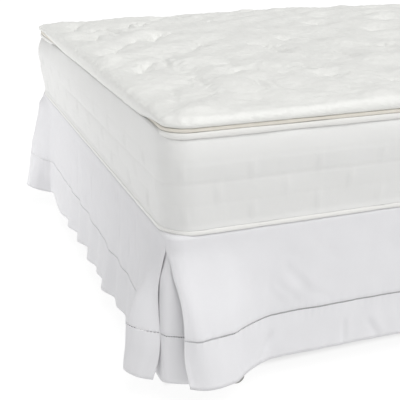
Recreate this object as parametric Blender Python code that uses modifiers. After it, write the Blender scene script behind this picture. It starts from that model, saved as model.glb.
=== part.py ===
"""A split-corner bed skirt, hanging on its bed: skirt, mattress, box spring and frame.

Metres, +Z up. X runs along the bed, from the foot at -X to the open head end at +X, and
Y across it. The origin is on the floor, under the bed's centre.
Every cloth piece is an open grid laid on its folds, given its thickness by Solidify.
"""
import math
from typing import NamedTuple

import bmesh
import bpy
from mathutils import Vector

# ---- driving dimensions -------------------------------------------------------------
BED_WIDTH = 1.52                 # standard queen: 60 in
BED_LENGTH = 2.03                # standard queen: 80 in
SKIRT_TOP = 0.39                 # floor to the underside of the mattress
SKIRT_DROP = 0.33                # underside of the mattress to the hem, plumb
CLOTH = 0.002                    # thickness of every skirt piece
GAP = 0.0003                     # what neighbouring solids keep between them

CORNER_RADIUS = 0.0375           # skirt corners, in plan
EDGE_RADIUS = 0.0165             # the skirt's round over the box spring's top edge
SEAM_INSET = 0.030               # seam between deck and panels, in from the skirt's plane
HOLD = 0.015                     # cloth below the round that stays close to the box
SOFT_START = 0.08                # share of the free fall over which a thread leaves the box
BELLY_FULL = 0.66                # and by which one with a full belly has swung out
SHOULDER_FULL = 0.10             # share of the fall over which a shoulder stands out
FOOT_SPLIT = math.radians(22)    # corner's arc that the foot panel covers
SIDE_SPLIT = math.radians(68)    # and that a side panel covers
SPLIT_GAP = 0.001                # between the two panels' ends on that arc
APEX = 0.028                     # fall at which the two panels part
SPLIT_CURL = 0.013               # how far their ends curl apart, and back lower down
CURL_REACH = 0.032               # cloth beside the split that curls with its end
HEAD_SETBACK = 0.01              # deck and side panels stop this short of the head end

INSERT_REACH = 0.10              # how far a corner insert runs along each side
INSERT_BEHIND = 0.0028           # from a panel's mid surface back to the insert's
INSERT_FOOT_OUT = 0.019          # how far the insert's hem stands out at the foot
INSERT_SIDE_OUT = 0.033          # and on the long side
INSERT_HEM_RADIUS = 0.034        # its corner at the hem, in plan
INSERT_BELLY = 0.6

MATTRESS_CORNER = 0.072          # mattress corners, in plan, at the bottom edge
TOP_CORNER = 0.055               # and at the top edge
LEAST_CORNER = 0.01              # of an outline drawn in by more than its corner
CORE_HEIGHT = 0.2165
CREST = 0.272                    # underside of the mattress to the pillow top's crest
BORDER_INSET = 0.004             # border beside the tapes, in from the mattress's plane
BORDER_BOW = 0.012               # and how far its middle swells out from there
LOWER_TAPE = 0.0065              # radius of the rolled tape round the bottom edge
UPPER_TAPE = 0.0075              # and round the top edge
PILLOW_TAPE = 0.0026             # the thin tape under the pillow top
PILLOW_TAPE_INSET = 0.010
CORNER_DROOP = 0.0215            # how much lower the pillow top's crown is at its corners
DROOP_REACH = 1.05               # along an edge, from a corner to the full height
DROOP_INSET = 0.34               # and inwards

BOX_INSET = 0.006                # box spring, in from the skirt's plane
BOX_HEIGHT = 0.20
BOX_EDGE = 0.020
BOX_CHAMFER = 0.004              # along its bottom edge

LEG_FROM_FOOT = 0.166            # leg centre, in from the skirt's foot plane
LEG_FROM_SIDE = 0.0255
LEG_RADIUS = 0.010
RAIL_SIZE = 0.034
RAIL_SETBACK = 0.016             # rail ends, in from the skirt's end planes
BAR_SOFTENING = 0.003
GLIDE_RADIUS = 0.0217
GLIDE_FLAT = 0.011               # radius of the flat under and over a glide foot

# ---- fineness -----------------------------------------------------------------------
WIDE_COLUMN = 0.034              # widest column of a cloth grid on a straight side
ARC_COLUMN = 0.010               # and on a corner's arc
ROUND_STEPS = 3
FALL_STEPS = 9
INSERT_STEPS = 5
CORNER_STEPS = 8
BORDER_ROWS = 6
GLIDE_ROWS = 6
GLIDE_SIDES = 16
LEG_SIDES = 20
TAPE_ROUNDING = 2                # extra points in each quarter of a tape's round section
SHARP_ANGLE = math.radians(40)   # edges that turn by more than this stay crisp
WELD = 0.0001                    # points nearer than this are joined

# ---- worked out ---------------------------------------------------------------------
HALF_WIDTH = BED_WIDTH / 2
HALF_LENGTH = BED_LENGTH / 2
SHEET_Z = SKIRT_TOP - GAP - CLOTH / 2            # mid surface of the deck and its seams
BOX_TOP = SHEET_Z - CLOTH / 2 - GAP
BOX_BOTTOM = BOX_TOP - BOX_HEIGHT
ROUND_BOTTOM = SHEET_Z - EDGE_RADIUS
FALL = SKIRT_DROP - (SKIRT_TOP - ROUND_BOTTOM)   # cloth from the round to the hem
RAIL_TOP = BOX_BOTTOM - GAP
RAIL_BOTTOM = RAIL_TOP - RAIL_SIZE
LEG_X = HALF_LENGTH - LEG_FROM_FOOT
LEG_Y = HALF_WIDTH - LEG_FROM_SIDE
GLIDE_HALF = math.sqrt(GLIDE_RADIUS ** 2 - GLIDE_FLAT ** 2)
GLIDE_TOP = 2 * GLIDE_HALF


class Fold(NamedTuple):
    """Where one thread of a panel hangs from, and where its end at the hem lies."""

    hang: float      # along the top edge, from the near corner, the corner's arc unrolled
    along: float     # of the hem, along the same side
    out: float       # of the hem, out from that side's plane
    belly: float     # 0 swings out evenly as it falls, 1 early and then hangs straight
    shoulder: float = 0.0     # how far it also stands out just under the edge


# The foot: a flap at each split, and soft waves between them.
FOOT_FOLDS = (
    Fold(0.023, 0.005, 0.037, 0.10),
    Fold(0.045, 0.021, 0.070, 0.45),
    Fold(0.071, 0.051, 0.089, 0.70),
    Fold(0.097, 0.081, 0.073, 0.60),
    Fold(0.127, 0.112, 0.049, 0.45),
    Fold(0.161, 0.154, 0.037, 0.40),
    Fold(0.195, 0.192, 0.038, 0.35),
    Fold(0.229, 0.227, 0.032, 0.35),
    Fold(0.266, 0.266, 0.027, 0.35),
    Fold(0.311, 0.311, 0.016, 0.35),
    Fold(0.360, 0.360, 0.025, 0.35),
    Fold(0.412, 0.412, 0.017, 0.35),
    Fold(0.464, 0.464, 0.039, 0.35),
    Fold(0.532, 0.532, 0.022, 0.35),
    Fold(0.577, 0.577, 0.026, 0.35),
    Fold(0.618, 0.618, 0.019, 0.35),
    Fold(0.678, 0.678, 0.032, 0.35),
    Fold(0.756, 0.756, 0.010, 0.35),
    Fold(0.816, 0.816, 0.032, 0.35),
    Fold(0.876, 0.876, 0.016, 0.35),
    Fold(0.944, 0.944, 0.034, 0.35),
    Fold(1.000, 1.000, 0.022, 0.35),
    Fold(1.078, 1.078, 0.033, 0.35),
    Fold(1.157, 1.157, 0.030, 0.35),
    Fold(1.236, 1.236, 0.023, 0.30),
    Fold(1.296, 1.291, 0.024, 0.25),
    Fold(1.341, 1.303, 0.051, 0.15),
    Fold(1.374, 1.309, 0.084, 0.05, 0.004),
    Fold(1.406, 1.326, 0.105, 0.05, 0.010),
    Fold(1.442, 1.366, 0.099, 0.20, 0.016),
    Fold(1.471, 1.412, 0.086, 0.35, 0.018),
    Fold(1.497, 1.455, 0.068, 0.45, 0.018),
)

# The long side: a flap at the split, then a nearly flat run to the free head end.
SIDE_FOLDS = (
    Fold(-0.007, 0.019, 0.072, 0.75),
    Fold(0.022, 0.042, 0.087, 0.85),
    Fold(0.058, 0.069, 0.095, 0.55),
    Fold(0.096, 0.099, 0.087, 0.40),
    Fold(0.144, 0.145, 0.052, 0.35),
    Fold(0.183, 0.183, 0.030, 0.35),
    Fold(0.213, 0.213, 0.020, 0.35),
    Fold(0.234, 0.234, 0.004, 0.35),
    Fold(0.262, 0.262, 0.002, 0.35),
    Fold(0.311, 0.311, 0.004, 0.35),
    Fold(0.363, 0.363, 0.008, 0.35),
    Fold(0.393, 0.393, 0.004, 0.35),
    Fold(0.421, 0.421, 0.012, 0.20),
    Fold(0.457, 0.457, 0.004, 0.35),
    Fold(0.528, 0.528, 0.006, 0.35),
    Fold(0.600, 0.600, 0.009, 0.35),
    Fold(0.700, 0.700, 0.004, 0.35),
    Fold(0.810, 0.810, 0.012, 0.35),
    Fold(0.920, 0.920, 0.005, 0.35),
    Fold(1.040, 1.040, 0.014, 0.35),
    Fold(1.160, 1.160, 0.006, 0.35),
    Fold(1.270, 1.270, 0.012, 0.35),
    Fold(1.390, 1.390, 0.004, 0.35),
    Fold(1.510, 1.510, 0.013, 0.35),
    Fold(1.630, 1.630, 0.006, 0.35),
    Fold(1.740, 1.740, 0.015, 0.35),
    Fold(1.850, 1.848, 0.010, 0.30),
    Fold(1.940, 1.935, 0.024, 0.20),
    Fold(2.030, 2.020, 0.036, 0.10),
)

# The pillow top's side and crown: inset from its plane, and share of its rise.
PAD_PROFILE = (
    (0.0055, 0.09), (0.0005, 0.28), (0.0010, 0.49), (0.0060, 0.68), (0.0150, 0.81),
    (0.0320, 0.90), (0.0720, 0.96), (0.1800, 0.985), (0.3400, 1.0),
)


class Run(NamedTuple):
    """One side of the skirt: its near corner in plan, and its directions."""

    corner: Vector
    along: Vector
    out: Vector
    length: float
    far_corner: bool      # whether the run's far end lies on an arc too

    def plan(self, along: float, out: float) -> Vector:
        """Give the plan position of a point named by its distances along and outward."""
        return self.corner + self.along * along + self.out * out

    def top(self, hang: float, inset: float) -> Vector:
        """Give a point of the top edge's path, `inset` metres in from the skirt's plane."""
        from_far_end = self.far_corner and hang > self.length / 2
        near = self.length - hang if from_far_end else hang
        along, out = near, -inset
        if near < CORNER_RADIUS:
            turn = (CORNER_RADIUS - near) / CORNER_RADIUS
            along = CORNER_RADIUS - (CORNER_RADIUS - inset) * math.sin(turn)
            out = (CORNER_RADIUS - inset) * math.cos(turn) - CORNER_RADIUS
        if from_far_end:
            along = self.length - along
        return self.plan(along, out)


HEADWARD, FOOTWARD = Vector((1, 0, 0)), Vector((-1, 0, 0))
BACKWARD, FRONTWARD = Vector((0, 1, 0)), Vector((0, -1, 0))
FRONT_CORNER = Vector((-HALF_LENGTH, -HALF_WIDTH, 0))
BACK_CORNER = Vector((-HALF_LENGTH, HALF_WIDTH, 0))
FOOT_RUN = Run(FRONT_CORNER, BACKWARD, FOOTWARD, BED_WIDTH, True)
FRONT_RUN = Run(FRONT_CORNER, HEADWARD, FRONTWARD, BED_LENGTH, False)
BACK_RUN = Run(BACK_CORNER, HEADWARD, BACKWARD, BED_LENGTH, False)


# ---- helpers ------------------------------------------------------------------------
def clear_scene():
    """Remove every object that the startup scene holds."""
    for thing in list(bpy.data.objects):
        bpy.data.objects.remove(thing, do_unlink=True)


def new_collection(name):
    """Make a collection under the scene."""
    collection = bpy.data.collections.new(name)
    bpy.context.scene.collection.children.link(collection)
    return collection


def finish(name, colour, roughness, metallic=0.0):
    """Make a plain Principled material."""
    material = bpy.data.materials.new(name)
    material.use_nodes = True
    shader = material.node_tree.nodes["Principled BSDF"]
    shader.inputs["Base Color"].default_value = (*colour, 1.0)
    shader.inputs["Roughness"].default_value = roughness
    shader.inputs["Metallic"].default_value = metallic
    return material


def add_object(name, bm, material, collection):
    """Turn a bmesh into a named object with one material."""
    mesh = bpy.data.meshes.new(name)
    bm.to_mesh(mesh)
    bm.free()
    mesh.materials.append(material)
    mesh.shade_smooth()
    mesh.set_sharp_from_angle(angle=SHARP_ANGLE)
    thing = bpy.data.objects.new(name, mesh)
    collection.objects.link(thing)
    return thing


def smooth_step(value):
    """Ease from 0 to 1 as value goes from 0 to 1."""
    value = min(max(value, 0.0), 1.0)
    return value * value * (3 - 2 * value)


def between(folds, hang):
    """Read a table of folds at one place, with a smooth cubic between its rows."""
    last = len(folds) - 2
    index = next((i for i in range(last) if hang <= folds[i + 1].hang), last)
    low, high = folds[index], folds[index + 1]
    before = folds[max(index - 1, 0)]
    after = folds[min(index + 2, last + 1)]
    span = high.hang - low.hang
    share = (hang - low.hang) / span
    square, cube = share ** 2, share ** 3
    values = []
    for field in ("along", "out", "belly", "shoulder"):
        start, end = getattr(low, field), getattr(high, field)
        slope_in = (end - getattr(before, field)) / (high.hang - before.hang)
        slope_out = (getattr(after, field) - start) / (after.hang - low.hang)
        values.append(start * (2 * cube - 3 * square + 1)
                      + end * (3 * square - 2 * cube)
                      + slope_in * span * (cube - 2 * square + share)
                      + slope_out * span * (cube - square))
    return Fold(hang, *values)


def columns_of(run, folds):
    """Give the places across a panel: each fold's own, and even steps between them."""
    places = []
    for low, high in zip(folds, folds[1:]):
        on_arc = low.hang < CORNER_RADIUS
        if run.far_corner and high.hang > run.length - CORNER_RADIUS:
            on_arc = True
        count = math.ceil((high.hang - low.hang) / (ARC_COLUMN if on_arc else WIDE_COLUMN))
        places += [low.hang + (high.hang - low.hang) * i / count for i in range(count)]
    places.append(folds[-1].hang)
    return places


def swing(share, belly):
    """Give how far a thread has swung out after a share of its free fall."""
    share = max(share, 0.0)
    even = share ** 2 / (share + SOFT_START) * (1 + SOFT_START)
    return even + (smooth_step(share / BELLY_FULL) - even) * belly


def fall_points(start, shift, belly, shoulder=Vector(), curl=Vector(), held=HOLD):
    """Let one thread fall: it swings by `shift`, which lifts its end by so much."""
    points = []
    drop = math.sqrt(FALL ** 2 - shift.length_squared)
    for step in range(1, FALL_STEPS + 1):
        fallen = step / FALL_STEPS
        share = swing((FALL * fallen - held) / (FALL - held), belly)
        stand = smooth_step(fallen / SHOULDER_FULL) * (1 - fallen)
        parted = max(FALL * fallen - APEX, 0.0) / (FALL - APEX)
        place = (start + shift * share + shoulder * stand
                 + curl * math.sin(2 * math.pi * parted))
        points.append(Vector((place.x, place.y, ROUND_BOTTOM - drop * fallen)))
    return points


def panel_thread(run, fold, split):
    """Give one thread of a panel: seam, round over the edge, then the fall to the hem."""
    seam = run.top(fold.hang, SEAM_INSET)
    points = [Vector((seam.x, seam.y, SHEET_Z))]
    for step in range(ROUND_STEPS + 1):
        angle = math.pi / 2 * step / ROUND_STEPS
        place = run.top(fold.hang, EDGE_RADIUS * (1 - math.sin(angle)))
        height = ROUND_BOTTOM + EDGE_RADIUS * math.cos(angle)
        points.append(Vector((place.x, place.y, height)))
    start = run.top(fold.hang, 0.0)
    shift = run.plan(fold.along, fold.out) - start
    from_split = fold.hang - CORNER_RADIUS * (1 - split)
    beside = math.exp(-(from_split / CURL_REACH) ** 2)
    curl = (run.along * math.cos(split) + run.out * math.sin(split)) * SPLIT_CURL * beside
    return points + fall_points(start, shift, fold.belly, run.out * fold.shoulder, curl,
                                HOLD + (APEX - HOLD) * beside)


def cloth_sheet(name, threads, material, collection):
    """Lay a grid on a list of threads, and give it the cloth's thickness."""
    columns, rows = len(threads) - 1, len(threads[0]) - 1
    bm = bmesh.new()
    bmesh.ops.create_grid(bm, x_segments=columns, y_segments=rows, size=1.0)
    for vert in bm.verts:
        column = round((vert.co.x + 1) / 2 * columns)
        row = round((vert.co.y + 1) / 2 * rows)
        vert.co = threads[column][row]
    bmesh.ops.recalc_face_normals(bm, faces=bm.faces)
    thing = add_object(name, bm, material, collection)
    solidify = thing.modifiers.new("Thickness", "SOLIDIFY")
    solidify.thickness = CLOTH
    solidify.offset = 0.0
    solidify.use_even_offset = True
    return thing


def make_panel(name, run, folds, split, material, collection):
    """Make one drop panel, from its split corner to its other end."""
    start = CORNER_RADIUS * (1 - split) + SPLIT_GAP / 2
    end = run.length - (start if run.far_corner else HEAD_SETBACK)
    kept = (folds[0]._replace(hang=start), *folds[1:-1], folds[-1]._replace(hang=end))
    threads = [panel_thread(run, between(kept, hang), split)
               for hang in columns_of(run, kept)]
    return cloth_sheet(name, threads, material, collection)


def insert_path(side_run, radius, foot_out, side_out):
    """Give the plan path of a corner insert, from the foot round to the long side."""
    along_centre = radius - foot_out
    back_centre = radius - side_out
    centre = side_run.plan(along_centre, -back_centre)
    foot_reach = INSERT_REACH - back_centre
    side_reach = INSERT_REACH - along_centre
    points = []
    for step in range(INSERT_STEPS):
        left = 1 - step / INSERT_STEPS
        points.append(centre - side_run.along * radius - side_run.out * (foot_reach * left))
    for step in range(CORNER_STEPS + 1):
        angle = math.pi / 2 * step / CORNER_STEPS
        points.append(centre - side_run.along * (radius * math.cos(angle))
                      + side_run.out * (radius * math.sin(angle)))
    for step in range(1, INSERT_STEPS + 1):
        gone = step / INSERT_STEPS
        points.append(centre + side_run.out * radius + side_run.along * (side_reach * gone))
    return points


def make_insert(name, side_run, material, collection):
    """Make the underlay behind one split corner, hung from the back of both panels."""
    tight = INSERT_BEHIND
    tops = insert_path(side_run, CORNER_RADIUS - tight, -tight, -tight)
    hems = insert_path(side_run, INSERT_HEM_RADIUS, INSERT_FOOT_OUT, INSERT_SIDE_OUT)
    threads = []
    for top, hem in zip(tops, hems):
        first = Vector((top.x, top.y, ROUND_BOTTOM))
        threads.append([first] + fall_points(top, hem - top, INSERT_BELLY, held=APEX))
    return cloth_sheet(name, threads, material, collection)


def rounded_rectangle(half_x, half_y, radius, steps):
    """List the corner points of a rectangle with round corners, anticlockwise."""
    points = []
    for quarter, (sx, sy) in enumerate(((1, 1), (-1, 1), (-1, -1), (1, -1))):
        for step in range(steps + 1):
            angle = math.pi / 2 * (quarter + step / steps)
            points.append((sx * (half_x - radius) + radius * math.cos(angle),
                           sy * (half_y - radius) + radius * math.sin(angle)))
    return points


def stacked_block(name, half_x, half_y, stations, material, collection):
    """Loft a block through outlines, each an (inset, height, corner radius) station."""
    bm = bmesh.new()
    rings = []
    for inset, height, radius in stations:
        corner = max(radius - inset, LEAST_CORNER)
        outline = rounded_rectangle(half_x - inset, half_y - inset, corner, CORNER_STEPS)
        rings.append([bm.verts.new((x, y, height)) for x, y in outline])
    for lower, upper in zip(rings, rings[1:]):
        for index in range(len(lower)):
            after = (index + 1) % len(lower)
            bm.faces.new((lower[index], lower[after], upper[after], upper[index]))
    bm.faces.new(reversed(rings[0]))
    bm.faces.new(rings[-1])
    return add_object(name, bm, material, collection)


def tape_ring(name, inset, height, radius, corner, material, collection):
    """Make a rolled tape round the mattress: a closed curve with a round bevel."""
    outline = rounded_rectangle(HALF_LENGTH - inset, HALF_WIDTH - inset,
                                corner - inset, CORNER_STEPS)
    curve = bpy.data.curves.new(name, "CURVE")
    curve.dimensions = "3D"
    spline = curve.splines.new("POLY")
    spline.points.add(len(outline) - 1)
    for point, (x, y) in zip(spline.points, outline):
        point.co = (x, y, height, 1)
    spline.use_cyclic_u = True
    curve.bevel_depth = radius
    curve.bevel_resolution = TAPE_ROUNDING
    curve.materials.append(material)
    thing = bpy.data.objects.new(name, curve)
    collection.objects.link(thing)
    return thing


def box_bar(name, low, high, material, collection):
    """Make a rectangular bar between two corners, with softened edges."""
    bm = bmesh.new()
    bmesh.ops.create_cube(bm, size=1.0)
    bmesh.ops.scale(bm, verts=bm.verts, vec=Vector(high) - Vector(low))
    bmesh.ops.translate(bm, verts=bm.verts, vec=(Vector(high) + Vector(low)) / 2)
    thing = add_object(name, bm, material, collection)
    edge = thing.modifiers.new("Soft edges", "BEVEL")
    edge.width = BAR_SOFTENING
    edge.segments = 1
    return thing


# ---- sub-parts ----------------------------------------------------------------------
def make_deck(material, collection):
    """Make the flat sheet under the mattress, inside the panels' seams."""
    inset = SEAM_INSET + GAP
    foot_x, head_x = -HALF_LENGTH + inset, HALF_LENGTH - HEAD_SETBACK
    stations = [(0.0, SHEET_Z + side * CLOTH / 2, CORNER_RADIUS - inset)
                for side in (-1, 1)]
    deck = stacked_block("skirt_deck", (head_x - foot_x) / 2, HALF_WIDTH - inset,
                         stations, material, collection)
    deck.location.x = (head_x + foot_x) / 2
    return deck


def make_core(material, collection):
    """Make the mattress core: a swelling border, drawn in where the tapes lie."""
    lower_notch = 2 * LOWER_TAPE + GAP
    upper_notch = 2 * UPPER_TAPE + GAP
    border_low = lower_notch + GAP
    border_high = CORE_HEIGHT - upper_notch
    stations = [(lower_notch, 0.0, MATTRESS_CORNER),
                (lower_notch, border_low, MATTRESS_CORNER)]
    for row in range(BORDER_ROWS + 1):
        share = row / BORDER_ROWS
        inset = BORDER_INSET - BORDER_BOW * math.sin(math.pi * share)
        stations.append((inset, border_low + (border_high - border_low) * share,
                         MATTRESS_CORNER + (TOP_CORNER - MATTRESS_CORNER) * share))
    stations += [(upper_notch, border_high + GAP, TOP_CORNER),
                 (upper_notch, CORE_HEIGHT, TOP_CORNER)]
    lifted = [(inset, SKIRT_TOP + height, corner) for inset, height, corner in stations]
    stacked_block("mattress_core", HALF_LENGTH, HALF_WIDTH, lifted, material, collection)


def make_pillow_top(material, collection):
    """Make the pillow top: one pad with drawn-in lower edge and a soft crown."""
    base = CORE_HEIGHT + GAP
    clear = PILLOW_TAPE_INSET + PILLOW_TAPE + GAP
    over_tape = base + 2 * PILLOW_TAPE + 2 * GAP
    profile = [(clear, base), (clear, over_tape)]
    profile += [(inset, over_tape + (CREST - over_tape) * share)
                for inset, share in PAD_PROFILE]
    lifted = [(inset, SKIRT_TOP + height, TOP_CORNER) for inset, height in profile]
    pad = stacked_block("pillow_top", HALF_LENGTH, HALF_WIDTH, lifted, material,
                        collection)
    for vert in pad.data.vertices:
        to_end, to_side = HALF_LENGTH - abs(vert.co.x), HALF_WIDTH - abs(vert.co.y)
        rise = max(vert.co.z - SKIRT_TOP - over_tape, 0.0) / (CREST - over_tape)
        droop = (1 - smooth_step(math.hypot(to_end, to_side) / DROOP_REACH)) \
            * (1 - smooth_step(min(to_end, to_side) / DROOP_INSET))
        vert.co.z -= CORNER_DROOP * rise * droop


def make_tapes(material, collection):
    """Make the three rolled tapes that bind the mattress's edges."""
    tapes = (
        ("tape_lower", LOWER_TAPE, LOWER_TAPE + GAP, LOWER_TAPE, MATTRESS_CORNER),
        ("tape_upper", UPPER_TAPE, CORE_HEIGHT - UPPER_TAPE, UPPER_TAPE, TOP_CORNER),
        ("tape_pillow", PILLOW_TAPE_INSET, CORE_HEIGHT + GAP + PILLOW_TAPE, PILLOW_TAPE,
         TOP_CORNER),
    )
    for name, inset, height, radius, corner in tapes:
        tape_ring(name, inset, SKIRT_TOP + height, radius, corner, material, collection)


def make_box_spring(material, collection):
    """Make the box spring, with the rounded top edge that the skirt falls over."""
    corner = CORNER_RADIUS - BOX_INSET
    stations = [(BOX_CHAMFER, BOX_BOTTOM, corner),
                (0.0, BOX_BOTTOM + BOX_CHAMFER, corner)]
    for step in range(ROUND_STEPS + 1):
        angle = math.pi / 2 * step / ROUND_STEPS
        stations.append((BOX_EDGE * (1 - math.cos(angle)),
                         BOX_TOP - BOX_EDGE * (1 - math.sin(angle)), corner))
    stacked_block("box_spring", HALF_LENGTH - BOX_INSET, HALF_WIDTH - BOX_INSET,
                  stations, material, collection)


def make_frame(steel, plastic, collection):
    """Make the steel frame: two rails, three cross bars, and legs on round glide feet."""
    half = RAIL_SIZE / 2
    end_x = HALF_LENGTH - RAIL_SETBACK
    for name, y in (("front", -LEG_Y), ("back", LEG_Y)):
        box_bar(f"rail_{name}", (-end_x, y - half, RAIL_BOTTOM),
                (end_x, y + half, RAIL_TOP), steel, collection)
    bar_y = LEG_Y - half - GAP
    for name, x in (("foot", -LEG_X), ("middle", 0.0), ("head", LEG_X)):
        box_bar(f"cross_bar_{name}", (x - half, -bar_y, RAIL_BOTTOM),
                (x + half, bar_y, RAIL_TOP), steel, collection)
    places = ((-LEG_X, -LEG_Y), (LEG_X, -LEG_Y), (-LEG_X, LEG_Y), (LEG_X, LEG_Y), (0, 0))
    for number, (x, y) in enumerate(places, start=1):
        make_leg(number, x, y, steel, collection)
        make_glide(number, x, y, plastic, collection)


def make_leg(number, x, y, material, collection):
    """Make one round leg, from its glide foot up to the frame."""
    low, high = GLIDE_TOP + GAP, RAIL_BOTTOM - GAP
    bm = bmesh.new()
    bmesh.ops.create_cone(bm, cap_ends=True, segments=LEG_SIDES, radius1=LEG_RADIUS,
                          radius2=LEG_RADIUS, depth=high - low)
    leg = add_object(f"leg_{number}", bm, material, collection)
    leg.location = (x, y, (low + high) / 2)


def make_glide(number, x, y, material, collection):
    """Make one glide foot: a plastic ball, flat where it meets the floor and the leg."""
    turn = math.acos(GLIDE_FLAT / GLIDE_RADIUS)
    points = [(0.0, GLIDE_HALF)]
    for row in range(GLIDE_ROWS + 1):
        angle = turn - 2 * turn * row / GLIDE_ROWS
        points.append((GLIDE_RADIUS * math.cos(angle), GLIDE_RADIUS * math.sin(angle)))
    points.append((0.0, -GLIDE_HALF))
    bm = bmesh.new()
    verts = [bm.verts.new((radius, 0, height)) for radius, height in points]
    for upper, lower in zip(verts, verts[1:]):
        bm.edges.new((upper, lower))
    glide = add_object(f"glide_foot_{number}", bm, material, collection)
    glide.location = (x, y, GLIDE_HALF)
    screw = glide.modifiers.new("Turn", "SCREW")
    screw.angle = 2 * math.pi
    screw.steps = GLIDE_SIDES
    screw.render_steps = GLIDE_SIDES
    screw.use_merge_vertices = True
    screw.merge_threshold = WELD


def main():
    """Build the whole bed and its skirt."""
    clear_scene()
    collection = new_collection("bed_skirt_on_bed")
    cotton = finish("skirt_cotton", (0.80, 0.80, 0.83), 0.9)
    ticking = finish("mattress_ticking", (0.82, 0.81, 0.76), 0.75)
    tape = finish("binding_tape", (0.84, 0.83, 0.79), 0.6)
    box_cloth = finish("box_spring_cloth", (0.72, 0.72, 0.70), 0.9)
    steel = finish("frame_steel", (0.10, 0.10, 0.11), 0.45, metallic=0.6)
    plastic = finish("glide_plastic", (0.33, 0.33, 0.31), 0.5)

    make_deck(cotton, collection)
    make_panel("skirt_foot", FOOT_RUN, FOOT_FOLDS, FOOT_SPLIT, cotton, collection)
    make_panel("skirt_side_front", FRONT_RUN, SIDE_FOLDS, SIDE_SPLIT, cotton, collection)
    make_panel("skirt_side_back", BACK_RUN, SIDE_FOLDS, SIDE_SPLIT, cotton, collection)
    make_insert("corner_insert_front", FRONT_RUN, cotton, collection)
    make_insert("corner_insert_back", BACK_RUN, cotton, collection)
    make_core(ticking, collection)
    make_pillow_top(ticking, collection)
    make_tapes(tape, collection)
    make_box_spring(box_cloth, collection)
    make_frame(steel, plastic, collection)


main()
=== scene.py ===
"""Dress a split-corner bed skirt, and the bed that it hangs on, round their solids.

Metres, +Z up. X runs along the bed, from the foot at -X to the open head end at +X, and
Y across it. The origin is on the floor, under the bed's centre.
"""
import logging
import math
from collections.abc import Callable, Iterator, Sequence
from contextlib import contextmanager
from dataclasses import dataclass, field, replace
from enum import Enum
from typing import NamedTuple

import bmesh
import bpy
import numpy as np
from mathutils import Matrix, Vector

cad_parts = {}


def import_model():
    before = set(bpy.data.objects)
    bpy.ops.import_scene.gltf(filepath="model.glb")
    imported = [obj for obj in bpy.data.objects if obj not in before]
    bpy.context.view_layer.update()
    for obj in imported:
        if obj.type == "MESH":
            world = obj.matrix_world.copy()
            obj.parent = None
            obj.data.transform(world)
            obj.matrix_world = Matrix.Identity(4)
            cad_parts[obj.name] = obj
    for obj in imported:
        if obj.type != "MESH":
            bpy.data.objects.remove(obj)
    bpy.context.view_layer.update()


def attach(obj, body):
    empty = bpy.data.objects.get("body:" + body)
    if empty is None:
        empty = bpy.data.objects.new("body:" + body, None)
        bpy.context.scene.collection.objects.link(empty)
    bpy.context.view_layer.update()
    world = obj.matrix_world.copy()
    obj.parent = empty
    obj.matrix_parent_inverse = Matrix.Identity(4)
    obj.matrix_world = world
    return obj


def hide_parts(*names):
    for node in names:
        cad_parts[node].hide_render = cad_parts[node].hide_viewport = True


LOG = logging.getLogger("bed_skirt")

Colour = tuple[float, float, float]
Point = tuple[float, float, float]
Place = tuple[float, float]
Span = tuple[float, float]
Piece = bpy.types.Object
Socket = bpy.types.NodeSocket
Array = np.ndarray
Test = Callable[[Vector, Vector], bool]

# ---- the bed's own sizes, shared by its sub-assemblies ----------------------------------
BED_WIDTH = 1.52
BED_LENGTH = 2.03
HALF_WIDTH = BED_WIDTH / 2
HALF_LENGTH = BED_LENGTH / 2
SKIRT_TOP = 0.39                 # floor to the underside of the mattress
SKIRT_DROP = 0.33                # underside of the mattress to the hem, plumb
GAP = 0.0003                     # what neighbouring pieces keep between them
HALF_CLOTH = 0.001               # room for half the skirt cloth's thickness
SEAM_HEIGHT = SKIRT_TOP - GAP - HALF_CLOTH
CORNER_RADIUS = 0.0375           # skirt corners, in plan
EDGE_RADIUS = 0.0085             # the skirt's round over the box spring's top edge
SEAM_INSET = 0.030               # seam between deck and panels, in from the skirt's plane
ROUND_BOTTOM = SEAM_HEIGHT - EDGE_RADIUS
FALL = SKIRT_DROP - (SKIRT_TOP - ROUND_BOTTOM)     # the round's lower end to the hem
HEAD_SETBACK = 0.01
BOX_TOP = SEAM_HEIGHT - HALF_CLOTH - GAP
BOX_HEIGHT = 0.20
BOX_BOTTOM = BOX_TOP - BOX_HEIGHT
MATTRESS_CORNER = 0.072          # mattress corners, in plan, at the bottom edge
TOP_CORNER = 0.055               # and at the top edge
CORE_HEIGHT = 0.2165
CREST = 0.272                    # underside of the mattress to the pillow top's crest
LOWER_TAPE = 0.0065              # radius of the rolled tape round the bottom edge
UPPER_TAPE = 0.0075              # and round the top edge
PILLOW_TAPE = 0.0026             # the thin tape under the pillow top
PILLOW_TAPE_INSET = 0.010        # from the mattress's plane to its middle
TAPE_FREE = -0.775               # where across the bed the tucked tapes come out in front
STITCH_HEIGHT = 0.655            # floor to the pillow top's stitch lines
QUARTER = math.pi / 2
ALONG, ACROSS = 0.9, 0.1         # how much of a direction is upright, at least or at most


class Fold(NamedTuple):
    """Where one thread of a panel hangs from, and where its end at the hem lies."""

    hang: float      # along the top edge, from the near corner, the corner's arc unrolled
    along: float     # of the hem, along the same side
    out: float       # of the hem, out from that side's plane
    belly: float     # 0 swings out evenly as it falls, above 0 early, below 0 late
    shoulder: float = 0.0     # how far it also stands out just under the edge


class Crease(NamedTuple):
    """One soft crease in a hanging panel, as a trough from its start to its end."""

    start: Place                   # along the side, and down from the mattress
    end: Place
    depth: float                   # of the trough, below zero for a ridge
    width: float


class Mark(NamedTuple):
    """A place in the camera's view, in steps of a 400th of the view's width."""

    across: float    # from its left side
    down: float      # from its top


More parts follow.
